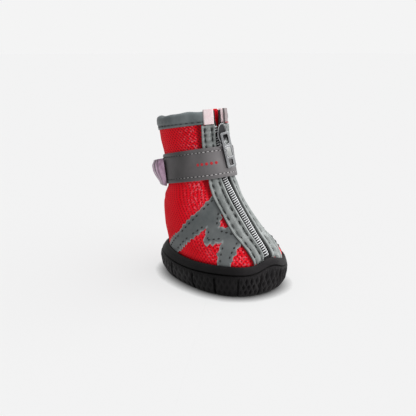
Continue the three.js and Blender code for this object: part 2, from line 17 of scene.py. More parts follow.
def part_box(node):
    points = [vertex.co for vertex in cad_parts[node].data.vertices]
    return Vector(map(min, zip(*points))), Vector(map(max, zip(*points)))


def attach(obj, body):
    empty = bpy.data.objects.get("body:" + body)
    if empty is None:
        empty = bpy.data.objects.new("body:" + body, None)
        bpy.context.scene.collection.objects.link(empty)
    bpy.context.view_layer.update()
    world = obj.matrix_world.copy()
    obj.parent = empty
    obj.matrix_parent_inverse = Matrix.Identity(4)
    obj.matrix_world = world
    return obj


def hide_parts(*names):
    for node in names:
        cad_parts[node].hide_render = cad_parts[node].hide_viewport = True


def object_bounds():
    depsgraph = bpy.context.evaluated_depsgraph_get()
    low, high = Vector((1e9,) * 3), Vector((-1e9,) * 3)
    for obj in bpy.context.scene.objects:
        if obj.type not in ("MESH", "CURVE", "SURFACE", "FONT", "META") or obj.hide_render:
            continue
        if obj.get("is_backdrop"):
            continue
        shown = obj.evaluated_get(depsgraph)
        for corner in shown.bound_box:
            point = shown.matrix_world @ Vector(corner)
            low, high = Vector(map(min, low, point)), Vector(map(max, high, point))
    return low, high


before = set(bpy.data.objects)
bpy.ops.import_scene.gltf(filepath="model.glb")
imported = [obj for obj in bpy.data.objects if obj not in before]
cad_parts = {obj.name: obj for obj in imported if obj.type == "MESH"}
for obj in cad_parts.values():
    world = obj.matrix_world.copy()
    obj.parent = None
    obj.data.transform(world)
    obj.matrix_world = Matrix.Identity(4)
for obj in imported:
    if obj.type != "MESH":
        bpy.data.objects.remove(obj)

MM = 0.001
cad_box = [list(corner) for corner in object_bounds()]

# %% [markdown]
# ## Camera, light and floor
# The camera stands to the left of the toe, a little above the boot. The light is that of a
# product table: an even pale room, one large soft light from the right and a weaker one from
# the left. Area lights could do it, but their light falls off with distance and would leave
# the floor darker far away. Two suns with wide discs have no falloff, so the floor keeps one
# tone and runs into the background.

# %% Place the camera
CAMERA_PLACE = (-222.3, -271.5, 126.0)  # millimetres
CAMERA_DOWN = 13.98  # degrees below level
CAMERA_TURN = 38.67  # degrees to the right of the boot's own length
CAMERA_LENS = 54.95

bpy.ops.object.select_all(action="DESELECT")
bpy.ops.object.camera_add(
    location=[value * MM for value in CAMERA_PLACE],
    rotation=(math.radians(90 - CAMERA_DOWN), 0, -math.radians(CAMERA_TURN)),
)
camera = bpy.context.object
camera.data.lens = CAMERA_LENS
camera.data.clip_start = 0.01
bpy.context.scene.camera = camera
print("camera", camera.name, "lens", CAMERA_LENS)

# %% Light the table
bpy.context.scene.view_settings.view_transform = "Standard"
SUNS = {
    "key": {"strength": 2.6, "disc": 95, "tilt": 48, "turn": 52},
    "fill": {"strength": 0.2, "disc": 90, "tilt": 45, "turn": -60},
}
for name, sun in SUNS.items():
    turn = math.radians(sun["turn"])
    bpy.ops.object.light_add(type="SUN", rotation=(math.radians(sun["tilt"]), 0, turn))
    light = bpy.context.object
    light.name = name
    light.data.energy = sun["strength"]
    light.data.angle = math.radians(sun["disc"])
print("lights", sorted(SUNS))


# %% A helper for nodes
def node(tree, kind, inputs=None, **settings):
    """Adds a shader node, sets it up, and gives its unlinked inputs their values."""
    new = tree.nodes.new("ShaderNode" + kind)
    for name, value in settings.items():
        setattr(new, name, value)
    for name, value in (inputs or {}).items():
        new.inputs[name].default_value = value
    return new


def ramp(tree, low, high, dark, light):
    """A colour ramp from dark at low to light at high."""
    new = node(tree, "ValToRGB")
    for element, position, colour in zip(new.color_ramp.elements, (low, high), (dark, light)):
        element.position = position
        element.color = (*colour, 1)
    return new


print("helpers", node.__name__, ramp.__name__)

# %% [markdown]
# ### The room
# Glossy metal and rubber mirror what stands round them, so the room is two things: an even
# grey that lights the cloth, and for mirrored rays a studio that is dark below and bright
# above. The camera itself sees one flat pale tone. Light Path tells the three apart, which is
# simpler than building walls and lamps that would have to be hidden again.

# %% Paint the room
BACKDROP = 0.905
ROOM_GREY = (0.4, 0.4, 0.405, 1)
world = bpy.data.worlds.new("pale room")
world.use_nodes = True
bpy.context.scene.world = world
room = world.node_tree
sky = room.nodes["Background"]
sky.inputs["Strength"].default_value = 1
path = node(room, "LightPath")
coordinates = node(room, "TexCoord")
split = node(room, "SeparateXYZ")
studio = ramp(room, 0.42, 0.75, (0.05, 0.05, 0.055), (1.0, 1.0, 1.0))
half = node(room, "Math", {1: 0.5, 2: 0.5}, operation="MULTIPLY_ADD")
shaded = node(room, "Mix", {"A": ROOM_GREY}, data_type="RGBA")
seen = node(room, "Mix", {"B": (BACKDROP, BACKDROP, BACKDROP, 1)}, data_type="RGBA")
room.links.new(coordinates.outputs["Generated"], split.inputs[0])
room.links.new(split.outputs["Z"], half.inputs[0])
room.links.new(half.outputs[0], studio.inputs[0])
room.links.new(path.outputs["Is Glossy Ray"], shaded.inputs["Factor"])
room.links.new(studio.outputs[0], shaded.inputs["B"])
room.links.new(path.outputs["Is Camera Ray"], seen.inputs["Factor"])
room.links.new(shaded.outputs["Result"], seen.inputs["A"])
room.links.new(seen.outputs["Result"], sky.inputs["Color"])
print("room", world.name)

# %% [markdown]
# ### The floor
# Pale paper under soft light shows a faint shadow and a dark line where the sole touches it.
# Most of the paper's tone is its own glow, so the suns' shadow stays faint. Ambient occlusion
# takes the glow away within a few millimetres of the sole, which draws the contact line.

# %% Lay the floor
PAPER = {"grey": 0.2, "glow": 0.695, "contact reach": 0.0065, "contact power": 1.45}
bpy.ops.object.select_all(action="DESELECT")
bpy.ops.mesh.primitive_plane_add(size=40)
floor = bpy.context.object
floor.name = "floor"
paper = bpy.data.materials.new("pale paper")
paper.use_nodes = True
paper_shader = paper.node_tree.nodes["Principled BSDF"]
paper_shader.inputs["Base Color"].default_value = (PAPER["grey"], PAPER["grey"], PAPER["grey"], 1)
paper_shader.inputs["Roughness"].default_value = 0.9
paper_shader.inputs["Specular IOR Level"].default_value = 0.0
paper_shader.inputs["Emission Color"].default_value = (1, 1, 1, 1)
contact = node(paper.node_tree, "AmbientOcclusion", {"Distance": PAPER["contact reach"]})
deepen = node(paper.node_tree, "Math", {1: PAPER["contact power"]}, operation="POWER")
glow = node(paper.node_tree, "Math", {1: PAPER["glow"]}, operation="MULTIPLY")
paper.node_tree.links.new(contact.outputs["AO"], deepen.inputs[0])
paper.node_tree.links.new(deepen.outputs[0], glow.inputs[0])
paper.node_tree.links.new(glow.outputs[0], paper_shader.inputs["Emission Strength"])
floor.data.materials.append(paper)
floor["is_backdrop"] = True
print("floor", floor.name)

# %% [markdown]
# ## The last
# A last is the foot shaped form that a boot is pulled over. Here it is a stack of ovals that
# lean back more and more towards the ankle. It could be a sculpted mesh that the pieces are
# shrink-wrapped to, but then each piece would need its own fitting. Instead a smooth cubic
# runs through each column of a table, so an oval can be asked for at any height, and every
# soft piece is placed by three numbers: how far round, how high, and how far proud of the last.

# %% The last's sizes
LAST_COLUMNS = ("height", "middle", "lean", "depth", "width", "front", "back", "taper")
LAST_ROWS = {
    "feather edge": (7.3, -0.9, 0, 36.3, 23.9, 2.25, 2.25, 0.04),
    "rim": (17.4, -1, 0, 36.9, 24.5, 2.25, 2.25, 0.04),
    "toe box": (22, 0.5, 0, 37.4, 24.2, 1.9, 2.2, 0.03),
    "vamp": (30, 7.2, 3, 34.2, 22.3, 1.5, 2.15, 0.01),
    "instep": (44, 15.6, 6, 27.8, 19.2, 1.38, 2.1, 0),
    "ankle": (53.3, 18.6, 12, 21.8, 16.4, 1.75, 2, 0),
    "strap top": (69.9, 23.6, 12, 22.3, 15.4, 2, 2, 0),
    "collar base": (83.5, 27.2, 9.5, 24.2, 15.2, 2, 2, 0),
    "collar": (89.2, 28, 8.5, 24.4, 15, 2, 2, 0),
    "above the collar": (95, 28.9, 8.5, 24.5, 14.9, 2, 2, 0),
}
LAST_TABLE = np.array(list(LAST_ROWS.values()), float)
SOLE = {"length": 82.8, "width": 58, "middle": 0.6, "power": 2.25, "taper": 0.04, "lip": 17.3}
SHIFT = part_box("outsole")[0].y / MM - (SOLE["middle"] - SOLE["length"] / 2)
print("last", len(LAST_ROWS), "rows, shifted", round(SHIFT, 3), "mm to the frame's origin")


# %% Ask the table for any height
def last_column(name, height):
    """One column of the last's table at any heights, through a cubic that never overshoots."""
    heights = LAST_TABLE[:, 0]
    values = LAST_TABLE[:, LAST_COLUMNS.index(name)]
    slopes = np.diff(values) / np.diff(heights)
    before, after = slopes[:-1], slopes[1:]
    total = np.where(before + after == 0, 1, before + after)
    inner = np.where(before * after > 0, 2 * before * after / total, 0)
    tangents = np.concatenate(([slopes[0]], inner, [slopes[-1]]))
    i = np.clip(np.searchsorted(heights, height, side="right") - 1, 0, len(values) - 2)
    span = heights[i + 1] - heights[i]
    t = (height - heights[i]) / span
    start = (2 * t**3 - 3 * t**2 + 1) * values[i] + (t**3 - 2 * t**2 + t) * span * tangents[i]
    end = (3 * t**2 - 2 * t**3) * values[i + 1] + (t**3 - t**2) * span * tangents[i + 1]
    return start + end


print("width at the instep", round(float(last_column("width", np.array(44.0))), 1), "mm each side")


# %% Find a point on the last
def oval(angle, depth, width, front, back, taper):
    """A point of an oval round the z axis: angle 0 is the toe, and it grows towards +X."""
    along, across = np.cos(angle), np.sin(angle)
    power = np.where(along > 0, front, back)
    y = -depth * np.sign(along) * np.abs(along) ** (2 / power)
    x = width * np.sign(across) * np.abs(across) ** (2 / power)
    return x * (1 - taper * y / depth), y


def last_point(angle, height):
    """A point of the last's surface, in millimetres from the last's own middle."""
    size = {name: last_column(name, height) for name in LAST_COLUMNS[1:]}
    lean = np.radians(size.pop("lean"))
    middle = size.pop("middle")
    x, y = oval(angle, **size)
    return np.stack([x, middle + y * np.cos(lean), height - y * np.sin(lean)], axis=-1)


def angle_across(across, height):
    """The angle at which the last is a distance across from its middle, near the toe."""
    width = last_column("width", height) * (1 + last_column("taper", height))
    share = np.minimum(1, np.abs(across) / width)
    return np.sign(across) * np.arcsin(share ** (last_column("front", height) / 2))


def degrees_round(angle):
    """An angle in degrees from the toe, between -180 and 180."""
    return np.degrees(np.angle(np.exp(1j * angle)))


print("toe at 30 mm up", np.round(last_point(np.array(0.0), np.array(30.0)), 1), "mm")

# %% [markdown]
# ### Creases
# Cloth on an empty boot is never quite even. A cloth simulation gives folds of its own
# choosing, and these pieces are sewn tight to each other, so the main puffs and creases are
# placed one by one instead: each row of the table is one soft ridge (positive) or trough
# (negative), with its place round the last in degrees, its height, its half length along and
# half width across, and the angle at which it runs.

# %% The creases
CREASE_COLUMNS = ("round", "height", "long", "wide", "run", "rise")
CREASES = {
    "puff under the strap, left": (-95, 50, 22, 4.5, 0, 0.7),
    "puff under the strap, right": (95, 50, 22, 4.5, 0, 0.7),
    "puff under the strap, heel": (180, 49, 14, 5, 0, 0.5),
    "crease to the ankle, left": (-70, 46, 9, 1.6, 35, -0.5),
    "crease to the ankle, right": (75, 45, 9, 1.6, -35, -0.5),
    "heel crease, left": (-135, 44, 8, 1.5, -20, -0.45),
    "heel crease, right": (140, 43, 8, 1.5, 22, -0.45),
    "vamp puff, left": (-60, 24, 12, 4, 10, 0.4),
    "vamp puff, right": (60, 24, 12, 4, -10, 0.4),
    "shaft dent, left": (-75, 77, 6, 2.5, 60, -0.35),
    "shaft dent, right": (85, 78, 6, 2.5, -55, -0.35),
    "shaft dent, back": (165, 76, 9, 2.5, 8, -0.4),
    "shaft puff, left": (-110, 79, 10, 3, 15, 0.35),
}


def relief(angle, height):
    """How far the cloth puffs out or sinks in, in millimetres."""
    size = last_column("width", height)
    total = np.zeros(np.broadcast(angle, height).shape)
    for row in CREASES.values():
        crease = dict(zip(CREASE_COLUMNS, row))
        turn = np.angle(np.exp(1j * (angle - math.radians(crease["round"]))))
        run = math.radians(crease["run"])
        x, y = turn * size, height - crease["height"]
        along = x * math.cos(run) + y * math.sin(run)
        off = y * math.cos(run) - x * math.sin(run)
        shape = -((along / crease["long"]) ** 2) - (off / crease["wide"]) ** 2
        total += crease["rise"] * np.exp(shape)
    return total


print("creases", len(CREASES), "deepest", min(row[-1] for row in CREASES.values()), "mm")


# %% Stand a point proud of the last
def on_last(angle, height, proud=0.0):
    """Points that stand proud of the last, creases included, in metres in the frame."""
    small = 0.02
    angle, height, proud = np.broadcast_arrays(angle, height, proud)
    around = last_point(angle + small, height) - last_point(angle - small, height)
    up = last_point(angle, height + small) - last_point(angle, height - small)
    outward = np.cross(around, up)
    outward /= np.linalg.norm(outward, axis=-1, keepdims=True)
    out = (proud + relief(angle, height))[..., None]
    return (last_point(angle, height) + out * outward + (0, SHIFT, 0)) * MM


print("toe, 1 mm proud", np.round(on_last(np.array(0.0), np.array(30.0), 1.0), 4), "m")

# %% [markdown]
# ### Distance round the last
# A weave keeps its size, and the boot's girth doesn't. So cloth is measured in millimetres
# from the middle of the heel, and a table of lengths turns that into an angle.

# %% Turn a distance round the last into an angle, and back
HEEL_TO_TOE = np.linspace(0, math.pi, 361)


def length_along(points):
    """The distance from the first point to each point of a line."""
    steps = np.linalg.norm(np.diff(points, axis=0), axis=1)
    return np.concatenate(([0], np.cumsum(steps)))


def girth_table(height):
    """Distance from the heel's middle at each angle of HEEL_TO_TOE, at one height."""
    return length_along(last_point(math.pi - HEEL_TO_TOE, np.full_like(HEEL_TO_TOE, height)))


def angle_at(distance, height):
    """The angle at a signed distance from the heel's middle, plus towards +X."""
    angle = np.empty(len(distance))
    for level in np.unique(np.round(height, 3)):
        row = np.abs(height - level) < 6e-4
        turn = np.interp(np.abs(distance[row]), girth_table(level), HEEL_TO_TOE)
        angle[row] = np.sign(distance[row]) * (math.pi - turn)
        angle[row] = np.where(distance[row] == 0, math.pi, angle[row])
    return angle


def distance_at(angle, height):
    """The signed distance from the heel's middle at one angle and height."""
    return math.copysign(np.interp(math.pi - abs(angle), HEEL_TO_TOE, girth_table(height)), angle)


print("half girth at the rim", round(girth_table(17.4)[-1], 1), "mm")

# %% [markdown]
# ## Tools of the bench
# A few helpers do what a hand does again and again: lay a flat grid over the last, give it
# a thickness, round its edges, copy a stitch along a seam, and hand the finished piece to
# the frame. A grid primitive is used because its rows and columns stay with the cloth, so
# its flat measures can be kept as a UV map for weave and grain.

# %% Select and edit
def only(piece):
    """Selects one piece and nothing else, because an operator acts on all that is selected."""
    bpy.ops.object.select_all(action="DESELECT")
    piece.select_set(True)
    bpy.context.view_layer.objects.active = piece


def edit(piece, *steps):
    """Runs mesh operators on the whole of a piece."""
    only(piece)
    bpy.ops.object.mode_set(mode="EDIT")
    bpy.ops.mesh.select_all(action="SELECT")
    for step in steps:
        step()
    bpy.ops.object.mode_set(mode="OBJECT")


def join(pieces, name):
    """Joins pieces into the first of them."""
    bpy.ops.object.select_all(action="DESELECT")
    for piece in pieces:
        piece.select_set(True)
    bpy.context.view_layer.objects.active = pieces[0]
    bpy.ops.object.join()
    pieces[0].name = pieces[0].data.name = name
    return pieces[0]


print("tools", only.__name__, edit.__name__, join.__name__)


# %% Weld, thicken and round
def weld():
    """Closes a seam, and drops the faces that vanish where a grid shrinks to a point."""
    bpy.ops.mesh.remove_doubles(threshold=5e-6)
    bpy.ops.mesh.dissolve_degenerate(threshold=2e-6)


def apply_modifier(piece, kind, **settings):
    modifier = piece.modifiers.new(kind.lower(), kind)
    for name, value in settings.items():
        setattr(modifier, name, value)
    only(piece)
    bpy.ops.object.modifier_apply(modifier=modifier.name)


def thicken(piece, thickness):
    """Gives a sheet its wall, inwards from the side that shows."""
    apply_modifier(piece, "SOLIDIFY", thickness=thickness * MM, offset=-1)


def round_edges(piece, width, segments=2, sharper_than=35):
    limit = math.radians(sharper_than)
    apply_modifier(piece, "BEVEL", width=width * MM, segments=segments, angle_limit=limit)


print("tools", weld.__name__, thicken.__name__, round_edges.__name__)


# %% Lay a flat grid over the last
def points_of(piece):
    flat = np.empty(len(piece.data.vertices) * 3)
    piece.data.vertices.foreach_get("co", flat)
    return flat.reshape(-1, 3)


def set_points(piece, points):
    piece.data.vertices.foreach_set("co", np.ascontiguousarray(points, float).ravel())
    piece.data.update()


def keep_pattern(piece, flat):
    """Keeps the flat cutting measures, in metres, as the UV map named pattern."""
    while piece.data.uv_layers:
        piece.data.uv_layers.remove(piece.data.uv_layers[0])
    layer = piece.data.uv_layers.new(name="pattern")
    corners = np.empty(len(piece.data.loops), int)
    piece.data.loops.foreach_get("vertex_index", corners)
    layer.data.foreach_set("uv", flat[corners].ravel())


def paint(piece, tone):
    """Stores how much lighter (above 0) or darker (below 0) each point is: mostly painted light and shade."""
    kept = piece.data.attributes.new("tone", "FLOAT", "POINT")
    kept.data.foreach_set("value", np.ascontiguousarray(tone, np.float32))


def lay_piece(name, columns, rows, place, wide=1.0, tall=1.0, tone=None):
    """A grid whose points go where place(u, v) says. wide and tall are its flat size in mm."""
    bpy.ops.object.select_all(action="DESELECT")
    bpy.ops.mesh.primitive_grid_add(x_subdivisions=columns, y_subdivisions=rows, size=1)
    piece = bpy.context.object
    piece.name = piece.data.name = name
    flat = points_of(piece)[:, :2] + 0.5
    keep_pattern(piece, flat * (wide * MM, tall * MM))
    set_points(piece, place(flat[:, 0], flat[:, 1]))
    if tone:
        paint(piece, tone(flat[:, 0], flat[:, 1]) + np.zeros(len(flat)))
    return piece


print("tools", keep_pattern.__name__, paint.__name__, lay_piece.__name__)


# %% Copy a small model many times
def repeat(name, model, places):
    """One piece with a copy of the model at each 4 by 4 place."""
    points = np.c_[points_of(model), np.ones(len(model.data.vertices))]
    places = np.asarray(places)
    copies = np.einsum("kij,nj->kni", places, points)[..., :3].reshape(-1, 3)
    offsets = (np.arange(len(places)) * len(points))[:, None, None]
    polygons = []
    for sides in (4, 3):
        faces = [list(face.vertices) for face in model.data.polygons if len(face.vertices) == sides]
        if faces:
            polygons += (np.array(faces)[None] + offsets).reshape(-1, sides).tolist()
    mesh = bpy.data.meshes.new(name)
    mesh.from_pydata(copies.tolist(), [], polygons)
    bpy.data.objects.remove(model)
    piece = bpy.data.objects.new(name, mesh)
    bpy.context.scene.collection.objects.link(piece)
    return piece


print("tool", repeat.__name__)


# %% Find the places of stitches along a seam
def unit(vectors):
    return vectors / np.linalg.norm(vectors, axis=-1, keepdims=True)


def places_along(angle, height, proud, pitch, first=0.5):
    """Places every pitch along a line on the last: X runs along it and Z outwards."""
    line = on_last(angle, height, proud)
    out = on_last(angle, height, np.asarray(proud) + 0.5) - line
    length = length_along(line)
    count = max(1, round(length[-1] / (pitch * MM)))
    at = (np.arange(count) + first) * length[-1] / count
    spot = np.stack([np.interp(at, length, line[:, k]) for k in range(3)], axis=1)
    run = np.gradient(line, length, axis=0)
    ahead = unit(np.stack([np.interp(at, length, run[:, k]) for k in range(3)], axis=1))
    rough = np.stack([np.interp(at, length, out[:, k]) for k in range(3)], axis=1)
    across = unit(np.cross(rough, ahead))
    places = np.tile(np.eye(4), (count, 1, 1))
    places[:, :3, 0] = ahead
    places[:, :3, 1] = across
    places[:, :3, 2] = np.cross(ahead, across)
    places[:, :3, 3] = spot
    return places


def stitch_model(length, thick):
    """One stitch: a short thread that dives into the leather at both ends."""
    bpy.ops.object.select_all(action="DESELECT")
    bpy.ops.mesh.primitive_uv_sphere_add(segments=8, ring_count=6, radius=0.5)
    size = (length * MM, thick * MM, thick * MM)
    edit(bpy.context.object, lambda: bpy.ops.transform.resize(value=size))
    return bpy.context.object


print("tools", places_along.__name__, stitch_model.__name__)


# %% Hand a finished piece to the frame
def finish(piece, material, slot, stands_for=(), body="boot", crease=40):
    """Smooths a piece, gives it its finish, hides the CAD parts it stands for, and hangs it on the body it
    rides on.
    """
    only(piece)
    bpy.ops.object.shade_smooth_by_angle(angle=math.radians(crease))
    if not piece.data.materials:
        piece.data.materials.append(material)
    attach(piece, body)
    if stands_for:
        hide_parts(*stands_for)
    print(piece.name, sum(len(face.vertices) - 2 for face in piece.data.polygons), "triangles")
    return piece


print("tool", finish.__name__)

# %% [markdown]
# ## Finishes
# Each finish has its own material. What several of them share is a node group: a grain with
# a slow cloud of tone under it, a plain weave that follows the cloth's own measures, and
# scuffs where a surface is rubbed. A group is changed in one place for every finish that uses
# it, which copied nodes are not. The groups only hand out values that change over the
# surface, and the shader stays in the material.

# %% Start a node group
def new_group(name, inputs, outputs):
    tree = bpy.data.node_groups.new(name, "ShaderNodeTree")
    for socket, value in inputs.items():
        made = tree.interface.new_socket(socket, in_out="INPUT", socket_type="NodeSocketFloat")
        made.default_value = value
    for socket in outputs:
        tree.interface.new_socket(socket, in_out="OUTPUT", socket_type="NodeSocketFloat")
    return tree, tree.nodes.new("NodeGroupInput"), tree.nodes.new("NodeGroupOutput")


print("helper", new_group.__name__)

# %% Group: a cloud of tone and a fine grain
grain_group, given, made = new_group("grain", {"Broad": 60, "Fine": 1400}, ("Cloud", "Grain"))
place = node(grain_group, "TexCoord")
cloud = node(grain_group, "TexNoise", {"Detail": 3.0})
pebble = node(grain_group, "TexVoronoi", feature="SMOOTH_F1")
grain_group.links.new(place.outputs["Object"], cloud.inputs["Vector"])
grain_group.links.new(place.outputs["Object"], pebble.inputs["Vector"])
grain_group.links.new(given.outputs["Broad"], cloud.inputs["Scale"])
grain_group.links.new(given.outputs["Fine"], pebble.inputs["Scale"])
grain_group.links.new(cloud.outputs["Fac"], made.inputs["Cloud"])
grain_group.links.new(pebble.outputs["Distance"], made.inputs["Grain"])
print("group", grain_group.name)

# %% Group: a plain weave on the cloth's own measures
weave_group, given, made = new_group("weave", {"Across": 2000, "Along": 2000}, ("Thread",))
flat_map = node(weave_group, "UVMap", uv_map="pattern")
parts = node(weave_group, "SeparateXYZ")
weave_group.links.new(flat_map.outputs["UV"], parts.inputs[0])
waves = []
for axis, count in (("X", "Across"), ("Y", "Along")):
    turns = node(weave_group, "Math", operation="MULTIPLY")
    phase = node(weave_group, "Math", {1: 2 * math.pi}, operation="MULTIPLY")
    wave = node(weave_group, "Math", operation="SINE")
    weave_group.links.new(parts.outputs[axis], turns.inputs[0])
    weave_group.links.new(given.outputs[count], turns.inputs[1])
    weave_group.links.new(turns.outputs[0], phase.inputs[0])
    weave_group.links.new(phase.outputs[0], wave.inputs[0])
    waves.append(wave)
crossing = node(weave_group, "Math", operation="MULTIPLY")
level = node(weave_group, "Math", {1: 0.5, 2: 0.5}, operation="MULTIPLY_ADD")
weave_group.links.new(waves[0].outputs[0], crossing.inputs[0])
weave_group.links.new(waves[1].outputs[0], crossing.inputs[1])
weave_group.links.new(crossing.outputs[0], level.inputs[0])
weave_group.links.new(level.outputs[0], made.inputs["Thread"])
print("group", weave_group.name)

# %% Group: scuffs
scuff_group, given, made = new_group("scuffs", {"Size": 220, "Amount": 0.4}, ("Scuff",))
place = node(scuff_group, "TexCoord")
stretch = node(scuff_group, "Mapping", {"Scale": (1, 1, 2.5)})
rub = node(scuff_group, "TexNoise", {"Detail": 6.0, "Roughness": 0.7})
cut = node(scuff_group, "MapRange", {"From Min": 0.55, "From Max": 0.8})
share = node(scuff_group, "Math", operation="MULTIPLY")
scuff_group.links.new(place.outputs["Object"], stretch.inputs["Vector"])
scuff_group.links.new(stretch.outputs["Vector"], rub.inputs["Vector"])
scuff_group.links.new(given.outputs["Size"], rub.inputs["Scale"])
scuff_group.links.new(rub.outputs["Fac"], cut.inputs["Value"])
scuff_group.links.new(cut.outputs["Result"], share.inputs[0])
scuff_group.links.new(given.outputs["Amount"], share.inputs[1])
scuff_group.links.new(share.outputs[0], made.inputs["Scuff"])
print("group", scuff_group.name)


# %% A material from its tones
TONE_LOW = 0.3
TONE_HIGH = 0.72


def new_material(
    name, dark, light, roughness, grain=(60, 1400), weave=None, scuffs=None, bump=0.3, depth=0.1, **fixed
):
    """dark and light are the two ends of the tone. bump is a strength and depth is in mm."""
    material = bpy.data.materials.new(name)
    material.use_nodes = True
    tree = material.node_tree
    shader = tree.nodes["Principled BSDF"]
    shader.inputs["Roughness"].default_value = roughness
    for socket, value in fixed.items():
        shader.inputs[socket.replace("_", " ")].default_value = value
    ground = node(tree, "Group", node_tree=grain_group)
    ground.inputs["Broad"].default_value, ground.inputs["Fine"].default_value = grain
    tone = ramp(tree, TONE_LOW, TONE_HIGH, dark, light)
    tree.links.new(ground.outputs["Cloud"], tone.inputs[0])
    colour, height = tone.outputs[0], ground.outputs["Grain"]
    if weave:
        threads = node(tree, "Group", node_tree=weave_group)
        threads.inputs["Across"].default_value, threads.inputs["Along"].default_value = weave
        shade = node(tree, "MapRange", {"To Min": 0.62, "To Max": 1.15})
        woven = node(tree, "Mix", {"Factor": 1.0}, data_type="RGBA", blend_type="MULTIPLY")
        tree.links.new(threads.outputs[0], shade.inputs["Value"])
        tree.links.new(colour, woven.inputs["A"])
        tree.links.new(shade.outputs["Result"], woven.inputs["B"])
        colour, height = woven.outputs["Result"], threads.outputs[0]
    # Every finish multiplies its colour by 1 plus the piece's tone, which is mostly painted light and shade.
    painted_light_and_tone = node(tree, "Attribute", attribute_name="tone")
    level = node(tree, "Math", {1: 1.0}, operation="ADD")
    toned = node(tree, "Mix", {"Factor": 1.0}, data_type="RGBA", blend_type="MULTIPLY")
    tree.links.new(painted_light_and_tone.outputs["Fac"], level.inputs[0])
    tree.links.new(colour, toned.inputs["A"])
    tree.links.new(level.outputs[0], toned.inputs["B"])
    colour = toned.outputs["Result"]
    if scuffs:
        marks = node(tree, "Group", node_tree=scuff_group)
        marks.inputs["Size"].default_value = scuffs["size"]
        marks.inputs["Amount"].default_value = scuffs["amount"]
        wear_and_painted_light = node(tree, "Mix", {"B": (*scuffs["tone"], 1)}, data_type="RGBA")
        tree.links.new(marks.outputs[0], wear_and_painted_light.inputs["Factor"])
        tree.links.new(colour, wear_and_painted_light.inputs["A"])
        colour = wear_and_painted_light.outputs["Result"]
    tree.links.new(colour, shader.inputs["Base Color"])
    raised = node(tree, "Bump", {"Strength": bump, "Distance": depth * MM})
    tree.links.new(height, raised.inputs["Height"])
    tree.links.new(raised.outputs[0], shader.inputs["Normal"])
    return material


print("helper", new_material.__name__)

# %% [markdown]
# ### Rubber and leathers
# The greys are one kind of leather: pale and rubbed on the plackets, darker on the overlays
# and the binding, and dark and a little warm on the strap. One material could be tinted for
# each piece, but then all would share one grain and one wear, so each has a finish of its own.
# Rubber is nearly black with a dull shine, and shows its form by its edges.

# %% Mix the rubber and the leathers
rubber = new_material(
    "black rubber", (0.004, 0.0037, 0.004), (0.009, 0.0083, 0.0086), 0.5, grain=(90, 1500), bump=0.5,
    scuffs={"size": 260, "amount": 0.35, "tone": (0.022, 0.02, 0.02)}, Specular_IOR_Level=0.09,
)
placket_leather = new_material(
    "grey leather", (0.205, 0.222, 0.217), (0.31, 0.33, 0.322), 0.5, grain=(110, 1500), bump=0.4,
    scuffs={"size": 300, "amount": 0.25, "tone": (0.33, 0.36, 0.35)}, Specular_IOR_Level=0.45,
)
overlay_leather = new_material(
    "grey overlay leather", (0.085, 0.095, 0.096), (0.14, 0.15, 0.15), 0.55, grain=(120, 1500), bump=0.4,
    Specular_IOR_Level=0.25,
)
binding_leather = new_material(
    "grey binding leather", (0.065, 0.078, 0.08), (0.125, 0.142, 0.145), 0.5, grain=(100, 1500), bump=0.4,
    Specular_IOR_Level=0.3,
)
strap_leather = new_material(
    "dark strap leather", (0.075, 0.071, 0.072), (0.115, 0.108, 0.11), 0.45, grain=(70, 1600), bump=0.35,
    Specular_IOR_Level=0.25,
)
print("leathers", placket_leather.name, overlay_leather.name, binding_leather.name, strap_leather.name)

# %% [markdown]
# ### Ribbons and cloth
# Ribbon, tape, lining and insole differ in how coarse their weave is and how much they shine.
# Real threads would be millions of points and could hardly be told from a weave that only
# bends the light, so the weave is in the finish.

# %% Weave the ribbons and cloths
lilac_ribbon = new_material(
    "lilac reflective ribbon", (0.22, 0.12, 0.19), (0.48, 0.34, 0.44), 0.3, grain=(240, 2500),
    weave=(1600, 700), bump=0.3, Metallic=0.35,
)
silver_ribbon = new_material(
    "silver reflective ribbon", (0.9, 0.68, 0.70), (1.0, 0.86, 0.87), 0.4, grain=(300, 3000),
    weave=(1800, 1800), bump=0.1,
)
tape_cloth = new_material(
    "black woven tape", (0.008, 0.008, 0.009), (0.02, 0.02, 0.022), 0.8, weave=(1400, 1400), bump=0.5,
)
lining_cloth = new_material(
    "red lining", (0.30, 0.004, 0.010), (0.42, 0.008, 0.018), 0.85, weave=(1100, 1100), bump=0.5,
    Specular_IOR_Level=0.1,
)
insole_cloth = new_material(
    "black insole cloth", (0.014, 0.014, 0.016), (0.035, 0.035, 0.038), 0.9, weave=(900, 900), bump=0.5,
)
print("cloths", lilac_ribbon.name, silver_ribbon.name, tape_cloth.name, lining_cloth.name, insole_cloth.name)

# %% [markdown]
# ### Metal and thread
# Nickel plate has little colour of its own, so its form is read from what it mirrors. At this
# size that is a few bright edges round darker faces. A bevel alone catches light only from
# some sides, so the edges get a brighter nickel of their own as a painted highlight, and hollows
# and side walls a darker one as painted shade.

# %% Plate the nickel and spin the threads
nickel = new_material(
    "nickel plate", (0.14, 0.143, 0.147), (0.22, 0.225, 0.23), 0.3, grain=(150, 1200), bump=0.02,
    scuffs={"size": 350, "amount": 0.3, "tone": (0.09, 0.09, 0.094)}, Metallic=1.0,
)
